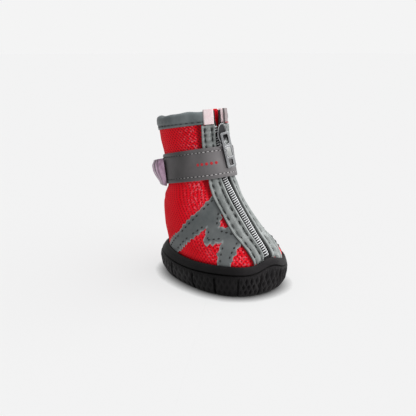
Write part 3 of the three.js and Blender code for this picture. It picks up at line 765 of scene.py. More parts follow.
# Nickel in shadow is the painted shade; the edge nickel below is the painted highlight.
shadowed_nickel = new_material(
    "nickel in shadow", (0.03, 0.03, 0.031), (0.07, 0.07, 0.074), 0.4, Metallic=0.8,
)
brushed_nickel = new_material(
    "brushed nickel panel", (0.3, 0.305, 0.3), (0.42, 0.43, 0.42), 0.5, grain=(260, 1800), bump=0.05,
    Metallic=0.7,
)
highlight_nickel = new_material(
    "nickel edge, painted highlight", (0.6, 0.61, 0.62), (0.8, 0.81, 0.82), 0.25, grain=(150, 1200), bump=0.01,
    Metallic=0.9,
)
coil = new_material(
    "silver coil teeth", (0.72, 0.73, 0.74), (0.9, 0.91, 0.92), 0.35, grain=(400, 3000), bump=0.1,
    Metallic=0.3,
)
dark_thread = new_material("dark thread", (0.008, 0.008, 0.009), (0.02, 0.02, 0.02), 0.7, weave=(3000, 3000))
pale_thread = new_material("pale thread", (0.5, 0.48, 0.48), (0.85, 0.82, 0.82), 0.6, weave=(3000, 3000))
red_thread = new_material("red thread", (0.5, 0.01, 0.02), (0.65, 0.02, 0.03), 0.7, weave=(3000, 3000))
print("finishes", len(bpy.data.materials))

# %% [markdown]
# ### Air mesh
# Air mesh is a knit with rows of small holes over a padded ground. Holes painted by a texture
# would stay flat at the boot's outline, so they are real dimples in the cloth's own mesh. A
# number on each point says how deep in a hole it is, so that the material can paint shade into
# the hollows. Towards the front, where the painted light is brighter, the yarn gets painted glints.

# %% The air mesh finish
air_mesh = new_material(
    "red air mesh", (0.66, 0.002, 0.009), (0.84, 0.006, 0.02), 0.55, grain=(45, 3200), bump=0.25,
    depth=0.06, Specular_IOR_Level=0.08,
)
tree = air_mesh.node_tree
shader = tree.nodes["Principled BSDF"]
ground_colour = shader.inputs["Base Color"].links[0].from_socket
# Painted shade darkens the holes.
hollow = node(tree, "Attribute", attribute_name="hole")
deep = node(tree, "MapRange", {"From Min": 0.2, "From Max": 0.9, "To Max": 0.92})
# Painted glints: pink highlights on the yarn, where the painted light in the tone is bright.
glints = node(tree, "TexNoise", {"Scale": 900, "Detail": 2.0})
painted_highlight = node(tree, "MapRange", {"From Min": 0.5, "From Max": 0.68, "To Max": 0.68})
facing = node(tree, "Attribute", attribute_name="tone")
by_front = node(tree, "Math", {1: 6.0}, operation="MULTIPLY", use_clamp=True)
glinting = node(tree, "Math", operation="MULTIPLY")
painted_yarn_glint = node(tree, "Mix", {"B": (0.92, 0.25, 0.31, 1)}, data_type="RGBA")
holes = node(tree, "Mix", {"B": (0.035, 0.001, 0.003, 1)}, data_type="RGBA")
spot = node(tree, "TexCoord")
tree.links.new(spot.outputs["Object"], glints.inputs["Vector"])
tree.links.new(glints.outputs["Fac"], painted_highlight.inputs["Value"])
tree.links.new(facing.outputs["Fac"], by_front.inputs[0])
tree.links.new(by_front.outputs[0], glinting.inputs[0])
tree.links.new(painted_highlight.outputs["Result"], glinting.inputs[1])
tree.links.new(glinting.outputs[0], painted_yarn_glint.inputs["Factor"])
tree.links.new(ground_colour, painted_yarn_glint.inputs["A"])
tree.links.new(painted_yarn_glint.outputs["Result"], holes.inputs["A"])
tree.links.new(hollow.outputs["Fac"], deep.inputs["Value"])
tree.links.new(deep.outputs["Result"], holes.inputs["Factor"])
tree.links.new(holes.outputs["Result"], shader.inputs["Base Color"])
print("finish", air_mesh.name)

# %% [markdown]
# ## The sole
# The cup sole is moulded in one piece: tread, side wall, a line round it, the rim that holds
# the upper, and the cup inside. It could be cut out of a block with booleans, one for each
# groove, but hundreds of them leave ragged edges. So it is one grid wrapped round the boot,
# whose rows run from the middle of the tread out, up the wall, over the rim and back in. The
# blocks, the wavy toe and the tread's figures are real relief, pushed into those rows.

# %% The sole's rows
SOLE_ROWS = {  # height, inset, rise, forward, height and inset in a cut, steps to the next row
    "centre field": (0, 15.4, 0, 0, 0, 15.4, 2),
    "oval groove, inner edge": (1.4, 15, 0, 0, 1.4, 15, 2),
    "oval groove, outer edge": (1.4, 13.8, 0, 0, 1.4, 13.8, 2),
    "lug ring": (0, 13.4, 0, 0, 1.4, 13.4, 18),
    "tread edge": (0, 5.2, 0, 0, 0.3, 5.6, 3),
    "tread's round": (0.35, 4.1, 0, 0, 0.6, 4.7, 3),
    "rounded edge": (1.6, 2.7, 0, 0, 2.1, 3.6, 5),
    "lower wall": (5, 0.8, 0.1, 0, 5, 1.9, 7),
    "widest": (9.6, 0, 0.5, 0, 9.6, 1.1, 3),
    "top of the blocks": (11.3, 0.1, 0.8, 0.2, 11.1, 0.8, 2),
    "under the line": (12.5, 0.35, 1, 0.4, 12.5, 0.35, 2),
    "line": (13.0, 1.3, 1, 0.5, 13.0, 1.3, 2),
    "rim foot": (13.6, 0.65, 1, 0.5, 13.6, 0.65, 4),
    "rim face": (16, 1.8, 1, 1.1, 16, 1.8, 2),
    "rim shoulder": (16.9, 2.5, 1, 1.4, 16.9, 2.5, 2),
    "rim lip": (17.3, 3.2, 1, 1.6, 17.3, 3.2, 2),
    "lip inside": (17, 3.9, 1, 1.6, 17, 3.9, 2),
    "cup wall": (12, 4.3, 0.3, 1.5, 12, 4.3, 2),
    "cup floor": (7, 4.6, 0, 1.5, 7, 4.6, 0),
}
CENTRE_ROWS = 34
FLOOR_ROWS = 3
STATIONS = 640
LUGS = {"count": 16, "cut": 0.9, "pitch": 12.9}  # the pitch is along the wall, in millimetres
LUG_RING = {"outer": 5.2, "inner": 13.4, "across": 8.2}
TOE_GUARD = {"rise": 3.6, "angle": 14}
WAIST = {"dip": 1.1, "angle": 26}
TOE_SPRING = {"lift": 0.8, "start": 27}
HEXAGONS = {"count": 4, "pitch": 12.4, "across": 4.8, "inner": 2.4, "clear": 6}
RIB_PITCH = 2.6
HATCH = {"pitch": 2.8, "start": 26}
SMALL_DOT = {"radius": 1.2, "near": 0.3, "far": 0.7}
WAVES = {"pitch": 5.2, "tall": 6.5}  # the pitch is in degrees round the boot

rows = np.array(list(SOLE_ROWS.values()), float)
skin = np.concatenate(
    [np.linspace(rows[i], rows[i + 1], int(rows[i, 6]), endpoint=False) for i in range(len(rows) - 1)]
    + [rows[-1:]]
)[:, :6]
shares = np.concatenate((
    np.linspace(0, 1, CENTRE_ROWS, endpoint=False),
    np.ones(len(skin)),
    np.linspace(1, 0, FLOOR_ROWS + 1)[1:],
))
skin = np.concatenate((np.repeat(skin[:1], CENTRE_ROWS, 0), skin, np.repeat(skin[-1:], FLOOR_ROWS, 0)))
print("sole", len(skin), "rows of", STATIONS)


# %% Soft steps, bells and grooves
def soft(value, start, end):
    """A smooth step from 0 at start to 1 at end."""
    t = np.clip((value - start) / (end - start), 0, 1)
    return t * t * (3 - 2 * t)


def bell(value, middle, half):
    """A soft bump: 1 at the middle, and about a third at a distance of half to either side."""
    return np.exp(-(((value - middle) / half) ** 2))


def groove(distance, half):
    """1 along the middle of a groove, and 0 beyond its soft sides."""
    return 1 - soft(np.abs(distance), half - 0.25, half + 0.25)


def grooves(run, pitch, half):
    """The depth of grooves that come every pitch along a run."""
    return groove((run % pitch) - pitch / 2, half)


print("groove of 1 mm, at its middle and edge", groove(np.array([0.0, 0.5]), 0.5))


# %% The sole's outline and its lugs
def sole_outline(angle, inset):
    """A point of the sole's outline, a distance in from its widest line."""
    size = {"depth": SOLE["length"] / 2 - inset, "width": SOLE["width"] / 2 - inset}
    return np.stack(oval(angle, front=SOLE["power"], back=SOLE["power"], taper=SOLE["taper"], **size))


def lug_at(angle):
    """Which lug stands at an angle. The cuts between lugs are at whole numbers."""
    return angle / (2 * math.pi) * LUGS["count"] - 0.5


def lug_cut(angle, spacing):
    """1 in a cut between two lugs, which stand a spacing apart in millimetres."""
    return groove((lug_at(angle) - np.round(lug_at(angle))) * spacing, LUGS["cut"] / 2)


def rim_climb(angle):
    """How far the rim climbs in millimetres: up over the toe, and a little down at the waist."""
    degrees = np.abs(degrees_round(angle))
    guard = TOE_GUARD["rise"] * bell(degrees, 0, TOE_GUARD["angle"])
    return guard - WAIST["dip"] * bell(degrees, 90, WAIST["angle"])


print("rim climbs", rim_climb(0.0), "mm at the toe")


# %% The tread's figures and the wall's waves
def tread_figure(x, y, angle, inset, share, spacing):
    """How deep the tread's fine figures are cut, in millimetres, on its underside."""
    nearest = np.clip(np.round(y / HEXAGONS["pitch"] + 1.5), 0, HEXAGONS["count"] - 1)
    off = y - (nearest - 1.5) * HEXAGONS["pitch"]
    hexagon = np.maximum(np.abs(off), np.abs(x) * 0.866 + np.abs(off) * 0.5)
    outer = groove(hexagon - HEXAGONS["across"], 0.45)
    inner = groove(hexagon - HEXAGONS["inner"], 0.4)
    ribs = grooves(y + 0.7 * np.abs(x), RIB_PITCH, 0.4) * (hexagon > HEXAGONS["clear"])
    field = np.maximum.reduce([outer, 0.7 * inner, 0.7 * ribs])
    lug = lug_at(angle)
    along = lug - np.floor(lug)
    out = (inset - LUG_RING["outer"]) / LUG_RING["across"]
    mirrored = np.where(np.floor(lug) % 2 == 0, along, 1 - along)
    diagonal = groove((mirrored - out) * spacing * 0.7, 0.35)

    def dot(across, outwards):
        away = np.hypot((mirrored - across) * spacing, (out - outwards) * LUG_RING["across"])
        return soft(SMALL_DOT["radius"] - away, 0.3, 0.7)

    near, far = SMALL_DOT["near"], SMALL_DOT["far"]
    dots = np.maximum(dot(near, far), dot(far, near))
    hatch = np.maximum(grooves(x + y, HATCH["pitch"], 0.35), grooves(x - y, HATCH["pitch"], 0.35))
    lugs = np.where(np.abs(y) > HATCH["start"], 0.8 * hatch, np.maximum(0.8 * diagonal, 0.8 * dots))
    ring = (inset < LUG_RING["inner"]) & (inset > LUG_RING["outer"])
    return np.where(share < 1, field, np.where(ring, lugs, 0))


def toe_waves(angle, height):
    """A lattice of steep crossing ribs on the toe's and heel's walls, faint on the sides."""
    degrees = degrees_round(angle)
    steep = degrees * 2 * math.pi / WAVES["pitch"]
    lean = height * 2 * math.pi / WAVES["tall"]
    wave = np.maximum(np.cos(steep + lean), np.cos(steep - lean)) * 1.4 - 0.7
    ends = 1 - soft(np.minimum(np.abs(degrees), 180 - np.abs(degrees)), 24, 36)
    wall = soft(height, 0.5, 2.5) * (1 - soft(height, 11.2, 12.2))
    return wall * wave * (0.19 + 0.28 * ends)


print("waves", round(math.radians(WAVES["pitch"]) * SOLE["length"] / 2, 1), "mm apart at the toe")

# %% Wrap the sole
TREAD_ROWS = 28  # rows from the centre field's edge that can carry the tread's figures
WALL_FOOT = 7  # only what is lower than this lifts with the toe's spring
angle_step = 0.01


def sole_place(u, v):
    row = np.round(v * (len(skin) - 1)).astype(int)
    height, inset, rise, forward, cut_height, cut_inset = skin[row].T
    share, angle = shares[row], 2 * math.pi * u
    chord = sole_outline(angle + angle_step, inset) - sole_outline(angle - angle_step, inset)
    spacing = np.linalg.norm(chord, axis=0) / (2 * angle_step) * 2 * math.pi / LUGS["count"]
    cut = lug_cut(angle, spacing) * (share == 1)
    height = height + cut * (cut_height - height)
    inset = inset + cut * (cut_inset - inset) - (1 - cut) * toe_waves(angle, height) * (share == 1)
    x, y = sole_outline(angle, inset) * share
    under = row < CENTRE_ROWS + TREAD_ROWS
    figure = tread_figure(x, y, angle, inset, share, spacing)
    height = np.where(under & (height < 1), np.maximum(height, figure), height)
    ahead = np.maximum(0, -y - TOE_SPRING["start"]) / (SOLE["length"] / 2 - TOE_SPRING["start"])
    z = height + rise * rim_climb(angle) + np.where(height < WALL_FOOT, TOE_SPRING["lift"] * ahead**2, 0)
    return np.stack([x, SOLE["middle"] + y - forward + SHIFT, z], axis=1) * MM


def sole_painted_light(u, v):
    """Painted shade in the cuts and the line, painted light and shade on the waves, and painted highlights on
    the toe and the front of the rim.
    """
    row = np.round(v * (len(skin) - 1)).astype(int)
    height, share, angle = skin[row, 0], shares[row], 2 * math.pi * u
    cut = lug_cut(angle, LUGS["pitch"]) * (share == 1) * (height < 11)
    line = bell(height, 13, 0.5)
    waves = 1.5 * toe_waves(angle, height) * (share == 1)
    toe = 2.2 * soft(np.cos(angle), 0.7, 0.95) * (share == 1)
    rim = 0.2 * soft(height, 13.4, 16) * soft(np.cos(angle), -0.2, 0.9)
    return waves + toe - 0.6 * np.maximum(cut, line) + rim


outsole = lay_piece("rubber_sole", STATIONS, len(skin) - 1, sole_place, 220, 90, sole_painted_light)
edit(outsole, weld, lambda: bpy.ops.mesh.normals_make_consistent(inside=False))
finish(outsole, rubber, "sole_rubber", ["outsole"], crease=32)

# %% [markdown]
# ## The insole
# A sheet of foam under knitted cloth lies loose in the cup. It is the sole's own outline,
# a little smaller, with a soft edge and a slight dish under the paw. The same outline function
# draws both, so the insole fits its cup whatever size the sole is given.

# %% Cut the insole
INSOLE = {"inset": 7.6, "top": 9.3, "thickness": 1.3, "dish": 0.5, "back": 1.5}


def insole_place(u, v):
    x, y = sole_outline(2 * math.pi * u, INSOLE["inset"])
    share = 1 - v
    z = INSOLE["top"] - INSOLE["dish"] * (1 - share**2) - 0.5 * soft(share, 0.94, 1)
    return np.stack([x * share, SOLE["middle"] - INSOLE["back"] + SHIFT + y * share, z], axis=1) * MM


insole = lay_piece("foam_insole", 96, 24, insole_place, 180, 30)
edit(insole, weld, lambda: bpy.ops.mesh.normals_make_consistent(inside=False))
thicken(insole, INSOLE["thickness"])
finish(insole, insole_cloth, "insole_foam", ["insole"])

# %% [markdown]
# ## The upper
# The upper is two layers of cloth on the last, open down the front for the zip. The outer
# layer is air mesh. Its grid is laid by distance from the middle of the heel, so the holes
# keep their size from the toe to the collar. Every fourth point along and up is the middle of
# a hole, with one more hole between each four. A displacement texture could press them in,
# but its holes would blur where they miss the grid's points. The inner layer is a smooth lining.

# %% Pull the air mesh over the last
HOLE_PITCH = 2.24
HOLE_DEPTH = 0.45
MESH_FOOT = 14
MESH_TOP = 86.5
SLOT_HALF = 5.0
MESH_COLUMNS = 8 * math.ceil(girth_table(20)[-1] / HOLE_PITCH)
MESH_ROWS = 4 * round((MESH_TOP - MESH_FOOT) / HOLE_PITCH)
mesh_half = MESH_COLUMNS * HOLE_PITCH / 8
print("air mesh", MESH_COLUMNS, "by", MESH_ROWS, "points")


# %% Trim it at the front opening
def slot_distance(height):
    """How far from the heel's middle the cloth ends, at the front opening."""
    edge = angle_across(SLOT_HALF, np.array([height]))[0]
    return distance_at(edge, height)


def cloth_angle(distance, height):
    limit = {level: slot_distance(level) for level in np.unique(np.round(height, 3))}
    ends = np.array([limit[level] for level in np.round(height, 3)])
    return angle_at(np.clip(distance, -ends, ends), height)


print("the cloth ends", round(float(slot_distance(40)), 1), "mm round from the heel")


# %% Press in the holes and lay it
def hole_depth(u, v):
    """1 in the middle of a hole, a third beside it. The holes stand like the fives on dice."""
    column, row = np.round(u * MESH_COLUMNS).astype(int), np.round(v * MESH_ROWS).astype(int)
    near = np.minimum(
        np.abs((column + 2) % 4 - 2) + np.abs((row + 2) % 4 - 2), np.abs(column % 4 - 2) + np.abs(row % 4 - 2)
    )
    return np.select([near == 0, near == 1], [1.0, 0.35], 0.0)


def mesh_place(u, v):
    height = MESH_FOOT + v * (MESH_TOP - MESH_FOOT)
    angle = cloth_angle((2 * u - 1) * mesh_half, height)
    return on_last(angle, height, -HOLE_DEPTH * hole_depth(u, v))


def mesh_tone(u, v):
    """Painted light towards the front, a painted shadow beside the plackets, and darker at the foot by the
    sole's rim.
    """
    height = MESH_FOOT + v * (MESH_TOP - MESH_FOOT)
    angle = cloth_angle((2 * u - 1) * mesh_half, height)
    x = last_point(angle, height)[..., 0]
    beside = soft(np.abs(x), 8.6, 9.4) * (1 - soft(np.abs(x), 9.8, 11)) * (np.cos(angle) > 0)
    return 0.22 * soft(np.cos(angle), 0.1, 0.9) - 0.8 * beside - 0.35 * (1 - soft(height, 16, 19))


upper = lay_piece(
    "air_mesh_upper", MESH_COLUMNS, MESH_ROWS, mesh_place, 2 * mesh_half, MESH_TOP - MESH_FOOT, mesh_tone
)
flat = (np.arange(len(upper.data.vertices)) % (MESH_COLUMNS + 1)) / MESH_COLUMNS
level = (np.arange(len(upper.data.vertices)) // (MESH_COLUMNS + 1)) / MESH_ROWS
turn = cloth_angle((2 * flat - 1) * mesh_half, MESH_FOOT + level * (MESH_TOP - MESH_FOOT))
# The holes' painted shade is stronger towards the front and the top.
by_place = 0.8 + 0.2 * soft(np.cos(turn), -0.3, 0.6) + 0.3 * soft(level, 0.6, 0.75)
strength = hole_depth(flat, level) * by_place
hole = upper.data.attributes.new("hole", "FLOAT", "POINT")
hole.data.foreach_set("value", strength.astype(np.float32))
edit(upper, weld)
thicken(upper, 0.5)
finish(upper, air_mesh, "air_mesh", ["upper"], crease=180)


# %% Line it
LINING = {"foot": 8, "proud": -1.15, "thickness": 0.65}


def lining_place(u, v):
    height = LINING["foot"] + v * (MESH_TOP - LINING["foot"])
    start = angle_across(SLOT_HALF, height)
    return on_last(start + u * (2 * math.pi - 2 * start), height, LINING["proud"])


lining = lay_piece("lining", 150, 60, lining_place, 160, 80)
thicken(lining, LINING["thickness"])
finish(lining, lining_cloth, "air_mesh", crease=180)

# %% [markdown]
# ### The gusset
# Behind the zip a tongue of the same mesh keeps stones out. Only its rounded top shows,
# above the collar. It could end there, but then the zip would be open to the inside, where it
# is seen from above. So it is one grid laid inside the last, a little rippled.

# %% Lay the gusset
GUSSET = {"half": 12.5, "foot": 27, "top": 89, "crown": 2.5, "proud": -3.6, "thickness": 1.0}


def gusset_place(u, v):
    across = (2 * u - 1) * GUSSET["half"]
    height = GUSSET["foot"] + v * (GUSSET["top"] - GUSSET["foot"]) * (1 - 0.12 * np.abs(2 * u - 1) ** 6)
    crown = GUSSET["crown"] * v * (1 - (2 * u - 1) ** 4)
    angle = angle_across(across, height)
    ripple = 0.25 * np.sin(across * 1.1 + height * 0.12)
    return on_last(angle, height + crown, GUSSET["proud"] + ripple)


gusset = lay_piece("mesh_gusset", 60, 120, gusset_place, 25, 62)
thicken(gusset, GUSSET["thickness"])
finish(gusset, air_mesh, "gusset_mesh", ["gusset"], crease=180)

# %% [markdown]
# ## Side overlays
# On each side a thin leather overlay is stitched on: a long bar from the ankle down to the
# heel side, a tooth, and a leg down to the toe side. Its edges are pinked, which is a zigzag
# cut that doesn't fray. It could be picked out of the mesh's own grid, but its edge would
# then step along the grid. So it is drawn flat, with a corner for each turn of its outline,
# filled with evenly spaced points so that it bends smoothly, and then laid on the mesh.

# %% Draw the overlay flat
OVERLAY = {  # degrees round from the toe, height in mm, and how the edge to the next corner is cut
    "top, under the placket": (33, 46.3, "pinked"),
    "upper edge, ankle": (56, 39.6, "pinked"),
    "upper edge, side": (94, 28.4, "pinked"),
    "heel end": (127, 16.8, "plain"),
    "heel end, under the rim": (127, 14.5, "plain"),
    "bar's foot, under the rim": (105, 14.5, "plain"),
    "bar's foot": (104, 16.5, "pinked"),
    "lower edge": (78, 26.2, "pinked"),
    "notch": (55, 31.8, "pinked"),
    "tooth": (64, 25.0, "pinked"),
    "tooth, toe side": (46, 26.3, "pinked"),
    "leg, heel side": (57, 17, "plain"),
    "leg's foot, heel side": (57, 14.5, "plain"),
    "leg's foot, toe side": (43, 14.5, "plain"),
    "leg, toe side": (43, 18.4, "pinked"),
    "leg, at the placket": (26.5, 27.2, "plain"),
    "window, toe side": (27, 30.6, "pinked"),
    "window, heel side": (42, 32.4, "pinked"),
    "window, top": (32, 40.2, "plain"),
}
PINK_PITCH = 3.1
PINK_DEPTH = 1.1
SEAM_INSET = 1.5
OVERLAY_THICKNESS = 0.6
overlay_corners = np.array([
    (distance_at(math.radians(turn), height), height) for turn, height, _ in OVERLAY.values()
])
overlay_edges = [edge for _, _, edge in OVERLAY.values()]
print("overlay", len(overlay_corners), "corners")


# %% Pink its edges
def area(corners):
    """The area inside a closed outline, less than 0 when it runs clockwise."""
    x, y = corners.T
    return 0.5 * np.sum(x * np.roll(y, -1) - np.roll(x, -1) * y)


def outwards(start, end):
    """The unit vector that points out of the overlay from one of its edges."""
    run = unit(end - start)
    return np.array([run[1], -run[0]]) * math.copysign(1, area(overlay_corners))


def is_notch(i):
    """Whether the outline turns inwards at a corner."""
    before, at, after = (overlay_corners[(i + k) % len(overlay_corners)] for k in (-1, 0, 1))
    turn = (at - before)[0] * (after - at)[1] - (at - before)[1] * (after - at)[0]
    return turn * area(overlay_corners) < 0


def cut_edge(i, kind):
    """Points from corner i to just before the next, straight or pinked."""
    start, end = overlay_corners[i], overlay_corners[(i + 1) % len(overlay_corners)]
    count = max(1, round(np.linalg.norm(end - start) / PINK_PITCH))
    skipped = {0} if is_notch(i) else set()
    skipped |= {count - 1} if is_notch(i + 1) else set()
    points = []
    for k in range(count):
        points.append(start + (end - start) * k / count)
        bite = (PINK_DEPTH if k not in skipped else PINK_DEPTH / 3) if kind == "pinked" else 0
        points.append(start + (end - start) * (k + 0.5) / count + outwards(start, end) * bite)
    return points


overlay_outline = []
for i, kind in enumerate(overlay_edges):
    overlay_outline += cut_edge(i, kind)
overlay_outline = np.array(overlay_outline)
print("outline", len(overlay_outline), "points, area", round(abs(area(overlay_outline))), "square mm")


# %% Fill it with even triangles
def inside(points, outline):
    """Which points lie inside a closed outline."""
    x, y = points.T
    odd = np.zeros(len(points), bool)
    for (x0, y0), (x1, y1) in zip(outline, np.roll(outline, -1, axis=0)):
        crosses = (y0 > y) != (y1 > y)
        odd ^= crosses & (x < (x1 - x0) * (y - y0) / (y1 - y0 if y1 != y0 else 1) + x0)
    return odd


def fill_flat(outline, spacing):
    """A flat mesh of even triangles inside an outline."""
    low, high = outline.min(0), outline.max(0)
    grid = np.stack(np.meshgrid(*[np.arange(low[k], high[k], spacing) for k in (0, 1)]), -1).reshape(-1, 2)
    near = np.linalg.norm(grid[:, None] - outline[None], axis=2).min(1)
    grid = grid[inside(grid, outline) & (near > spacing * 0.45)]
    points = [Vector(point) for point in np.concatenate((outline, grid))]
    return delaunay_2d_cdt(points, [], [list(range(len(outline)))], 1, 1e-5)


overlay_flat = fill_flat(overlay_outline, 1.1)
print("filled with", len(overlay_flat[2]), "triangles")


# %% Lay an overlay on each side
def make_overlay(hand, side):
    flat = np.array([tuple(point) for point in overlay_flat[0]])
    mesh = bpy.data.meshes.new("overlay_" + hand)
    mesh.from_pydata([(x, y, 0) for x, y in flat], [], overlay_flat[2])
    piece = bpy.data.objects.new(mesh.name, mesh)
    bpy.context.scene.collection.objects.link(piece)
    keep_pattern(piece, flat * MM)
    turn = angle_at(side * flat[:, 0], flat[:, 1])
    set_points(piece, on_last(turn, flat[:, 1], 0.15 + OVERLAY_THICKNESS))
    # The tone is lighter along the cut edge, with painted light towards the front and a painted shadow along
    # the placket's edge.
    edge = np.arange(len(flat)) < len(overlay_outline)
    front = soft(np.abs(last_point(turn, flat[:, 1])[:, 0]), 8.6, 10.8)
    paint(piece, np.where(edge, 1.5, 0.0) + 0.15 * soft(np.cos(turn), 0.1, 0.9) - 0.7 * (1 - front))
    middle = Vector((0, 15 + SHIFT, 30)) * MM
    facing = sum(face.normal.dot(face.center - middle) for face in piece.data.polygons)
    if facing < 0:
        edit(piece, bpy.ops.mesh.flip_normals)
    thicken(piece, OVERLAY_THICKNESS)
    return finish(piece, overlay_leather, "placket_leather", crease=50)


def overlay_seam(side):
    """Places for the stitches, inside each pinked edge."""
    places = []
    for i, kind in enumerate(overlay_edges):
        start, end = overlay_corners[i], overlay_corners[(i + 1) % len(overlay_corners)]
        if kind == "plain":
            continue
        inwards = -outwards(start, end) * SEAM_INSET
        run = unit(end - start) * SEAM_INSET * 0.6
        line = np.linspace(start + inwards + run, end + inwards - run, 12)
        angle = angle_at(side * line[:, 0], line[:, 1])
        places.append(places_along(angle, line[:, 1], 0.1 + OVERLAY_THICKNESS, PINK_PITCH))
    return np.concatenate(places)


for hand, side in (("left", -1), ("right", 1)):
    make_overlay(hand, side)
    stitches = repeat("overlay_stitches_" + hand, stitch_model(1.5, 0.95), overlay_seam(side))
    finish(stitches, dark_thread, "placket_leather", crease=180)

# %% [markdown]
# ## The zip
# A coil zip is a woven tape with a row of teeth on each inner edge. The teeth of the two
# sides stand half a pitch apart, so they lock. One tooth is a small block with round edges,
# copied up each side. An array along a curve would turn the teeth with the curve alone, and
# these also have to stand square to the last, so each copy gets its own place. Above the
# slider the two halves part, each with its own teeth.

# %% Weave the tape
TAPE_HALF = 4.2
SLIDER_HEIGHT = 77.2
TOOTH_PITCH = 1.3


def strip_place(inner, outer, foot, top, proud, parted=0):
    """A strip along the zip. Its inner edge moves by parted, towards the middle, at the slider."""
    def place(u, v):
        height = foot + v * (top - foot)
        nearer = parted * (1 - soft(height, 78.5, 86)) * (1 - u if parted < 0 else u)
        across = inner + u * (outer - inner) + nearer
        return on_last(angle_across(across, height), height, proud)
    return place


tape_place = strip_place(-TAPE_HALF - 0.6, TAPE_HALF + 0.6, 7.3, SLIDER_HEIGHT, -0.7)
tape = lay_piece("zip_tape_cloth", 12, 90, tape_place, 9.6, 90)
thicken(tape, 0.8)
finish(tape, tape_cloth, "zip_tape", ["zip_tape"])
PARTED = {"inner": 1.7, "foot": SLIDER_HEIGHT + 0.3, "top": 82.6, "tape top": 90.6}
for hand, side in (("left", -1), ("right", 1)):
    edges = sorted((side * PARTED["inner"], side * TAPE_HALF))
    half_tape = lay_piece(
        "zip_tape_end_" + hand, 6, 30,
        strip_place(*edges, PARTED["foot"], PARTED["tape top"], -0.9, -1.3 * side), 2.5, 13,
    )
    thicken(half_tape, 0.8)
    finish(half_tape, tape_cloth, "zip_tape", ["zip_end_" + hand])


# %% Set the teeth
def tooth_model(lean, wide, thick):
    bpy.ops.object.select_all(action="DESELECT")
    bpy.ops.mesh.primitive_cube_add(size=1)
    tooth = bpy.context.object
    edit(
        tooth,
        lambda: bpy.ops.transform.resize(value=(thick * MM, wide * MM, 0.95 * MM)),
        lambda: bpy.ops.transform.rotate(
            value=math.radians(lean), orient_axis="Z", center_override=(0, 0, 0)
        ),
    )
    round_edges(tooth, 0.16)
    return tooth


def lip_height(across):
    """The height of the toe guard's lip in front of a point so far across."""
    angle = np.arcsin((np.abs(across) / (SOLE["width"] / 2 - 3.3)) ** (SOLE["power"] / 2))
    return SOLE["lip"] + rim_climb(angle)


teeth = []
climb = np.linspace(lip_height(np.array(0.0)) + 0.3, SLIDER_HEIGHT - 1, 120)
TEETH_ROWS = {
    -1: {"middle": -1.25, "wide": 2.2, "thick": 0.38},
    1: {"middle": 0.2, "wide": 0.55, "thick": 1.05},
}
for side, size in TEETH_ROWS.items():
    line = angle_across(np.full_like(climb, size["middle"]), climb)
    start = 0.25 if side < 0 else 0.75
    row = places_along(line, climb, 0.25, TOOTH_PITCH, start)
    teeth.append(repeat("teeth", tooth_model(12 * side, size["wide"], size["thick"]), row))
    short = np.linspace(PARTED["foot"] + 0.3, PARTED["top"] - 0.3, 12)
    line = angle_across(np.full_like(short, side * (PARTED["inner"] + 0.5)), short)
    row = places_along(line, short, 0.2, TOOTH_PITCH, start)
    teeth.append(repeat("teeth", tooth_model(12 * side, 1.6, 0.6), row))
finish(join(teeth, "coil_teeth"), coil, "zip_chain", ["zip_chain"])

# %% [markdown]
# ## The plackets
# Each side of the zip is edged with a padded leather strip. Across it there is a folded edge
# by the teeth, a stitched valley, a padded band, a second valley and a rolled outer edge.
# Sculpting would do it, but two sides and hundreds of stitches have to agree. So the profile
# is a short table with soft bumps added, and the band puckers a little between stitches.

# %% Shape the plackets
PLACKET_PROFILE = {  # across from the zip, proud of the last
    "tucked in by the teeth": (2.75, -0.45),
    "folded edge": (2.95, 1.25),
    "fold's crest": (3.5, 1.55),
    "inner seam": (4.5, 0.85),
    "band, inner side": (5.3, 1.45),
    "band's crest": (6.1, 1.6),
    "band, outer side": (6.9, 1.4),
    "outer seam": (7.6, 0.85),
    "rolled edge": (8.3, 1.5),
    "edge's side": (8.8, 1.3),
    "tucked on the mesh": (9.05, 0.35),
}
PLACKET_TOP = 83.6
PLACKET_LENGTH = 82
PLACKET_STITCH = 4.2
PLACKET_SEAMS = (4.5, 7.6)
profile = np.array(list(PLACKET_PROFILE.values()))
print("placket", round(profile[-1, 0] - profile[0, 0], 1), "mm wide")


# %% Puff them between the stitches
def two_seams(across, half):
    return bell(across, PLACKET_SEAMS[0], half) + bell(across, PLACKET_SEAMS[1], half)


def placket_proud(across, run):
    """The strip's height over the last. run is the distance along it in millimetres."""
    base = np.interp(across, profile[:, 0], profile[:, 1])
    band = bell(across, 6.1, 1.1)
    seams = two_seams(across, 0.5)
    pucker = np.cos(2 * math.pi * run / PLACKET_STITCH)
    drift = np.sin(run * 0.37 + 0.8) * np.sin(run * 0.11)
    free = 1 - soft(run, 40, 47) * (1 - soft(run, 66, 72))
    crest = band + bell(across, 8.3, 0.5) + bell(across, 3.5, 0.5)
    fold = 1 + 1.2 * soft(run, 66, 72)
    puff = 0.3 * crest - 0.2 * seams + fold * band * (0.26 * drift - 0.2 * pucker)
    return base + free * puff + seams * 0.2 * pucker


def placket_across(u, side):
    share = 0.5 - 0.5 * np.cos(math.pi * u) if side > 0 else 0.5 + 0.5 * np.cos(math.pi * u)
    return profile[0, 0] + share * (profile[-1, 0] - profile[0, 0])


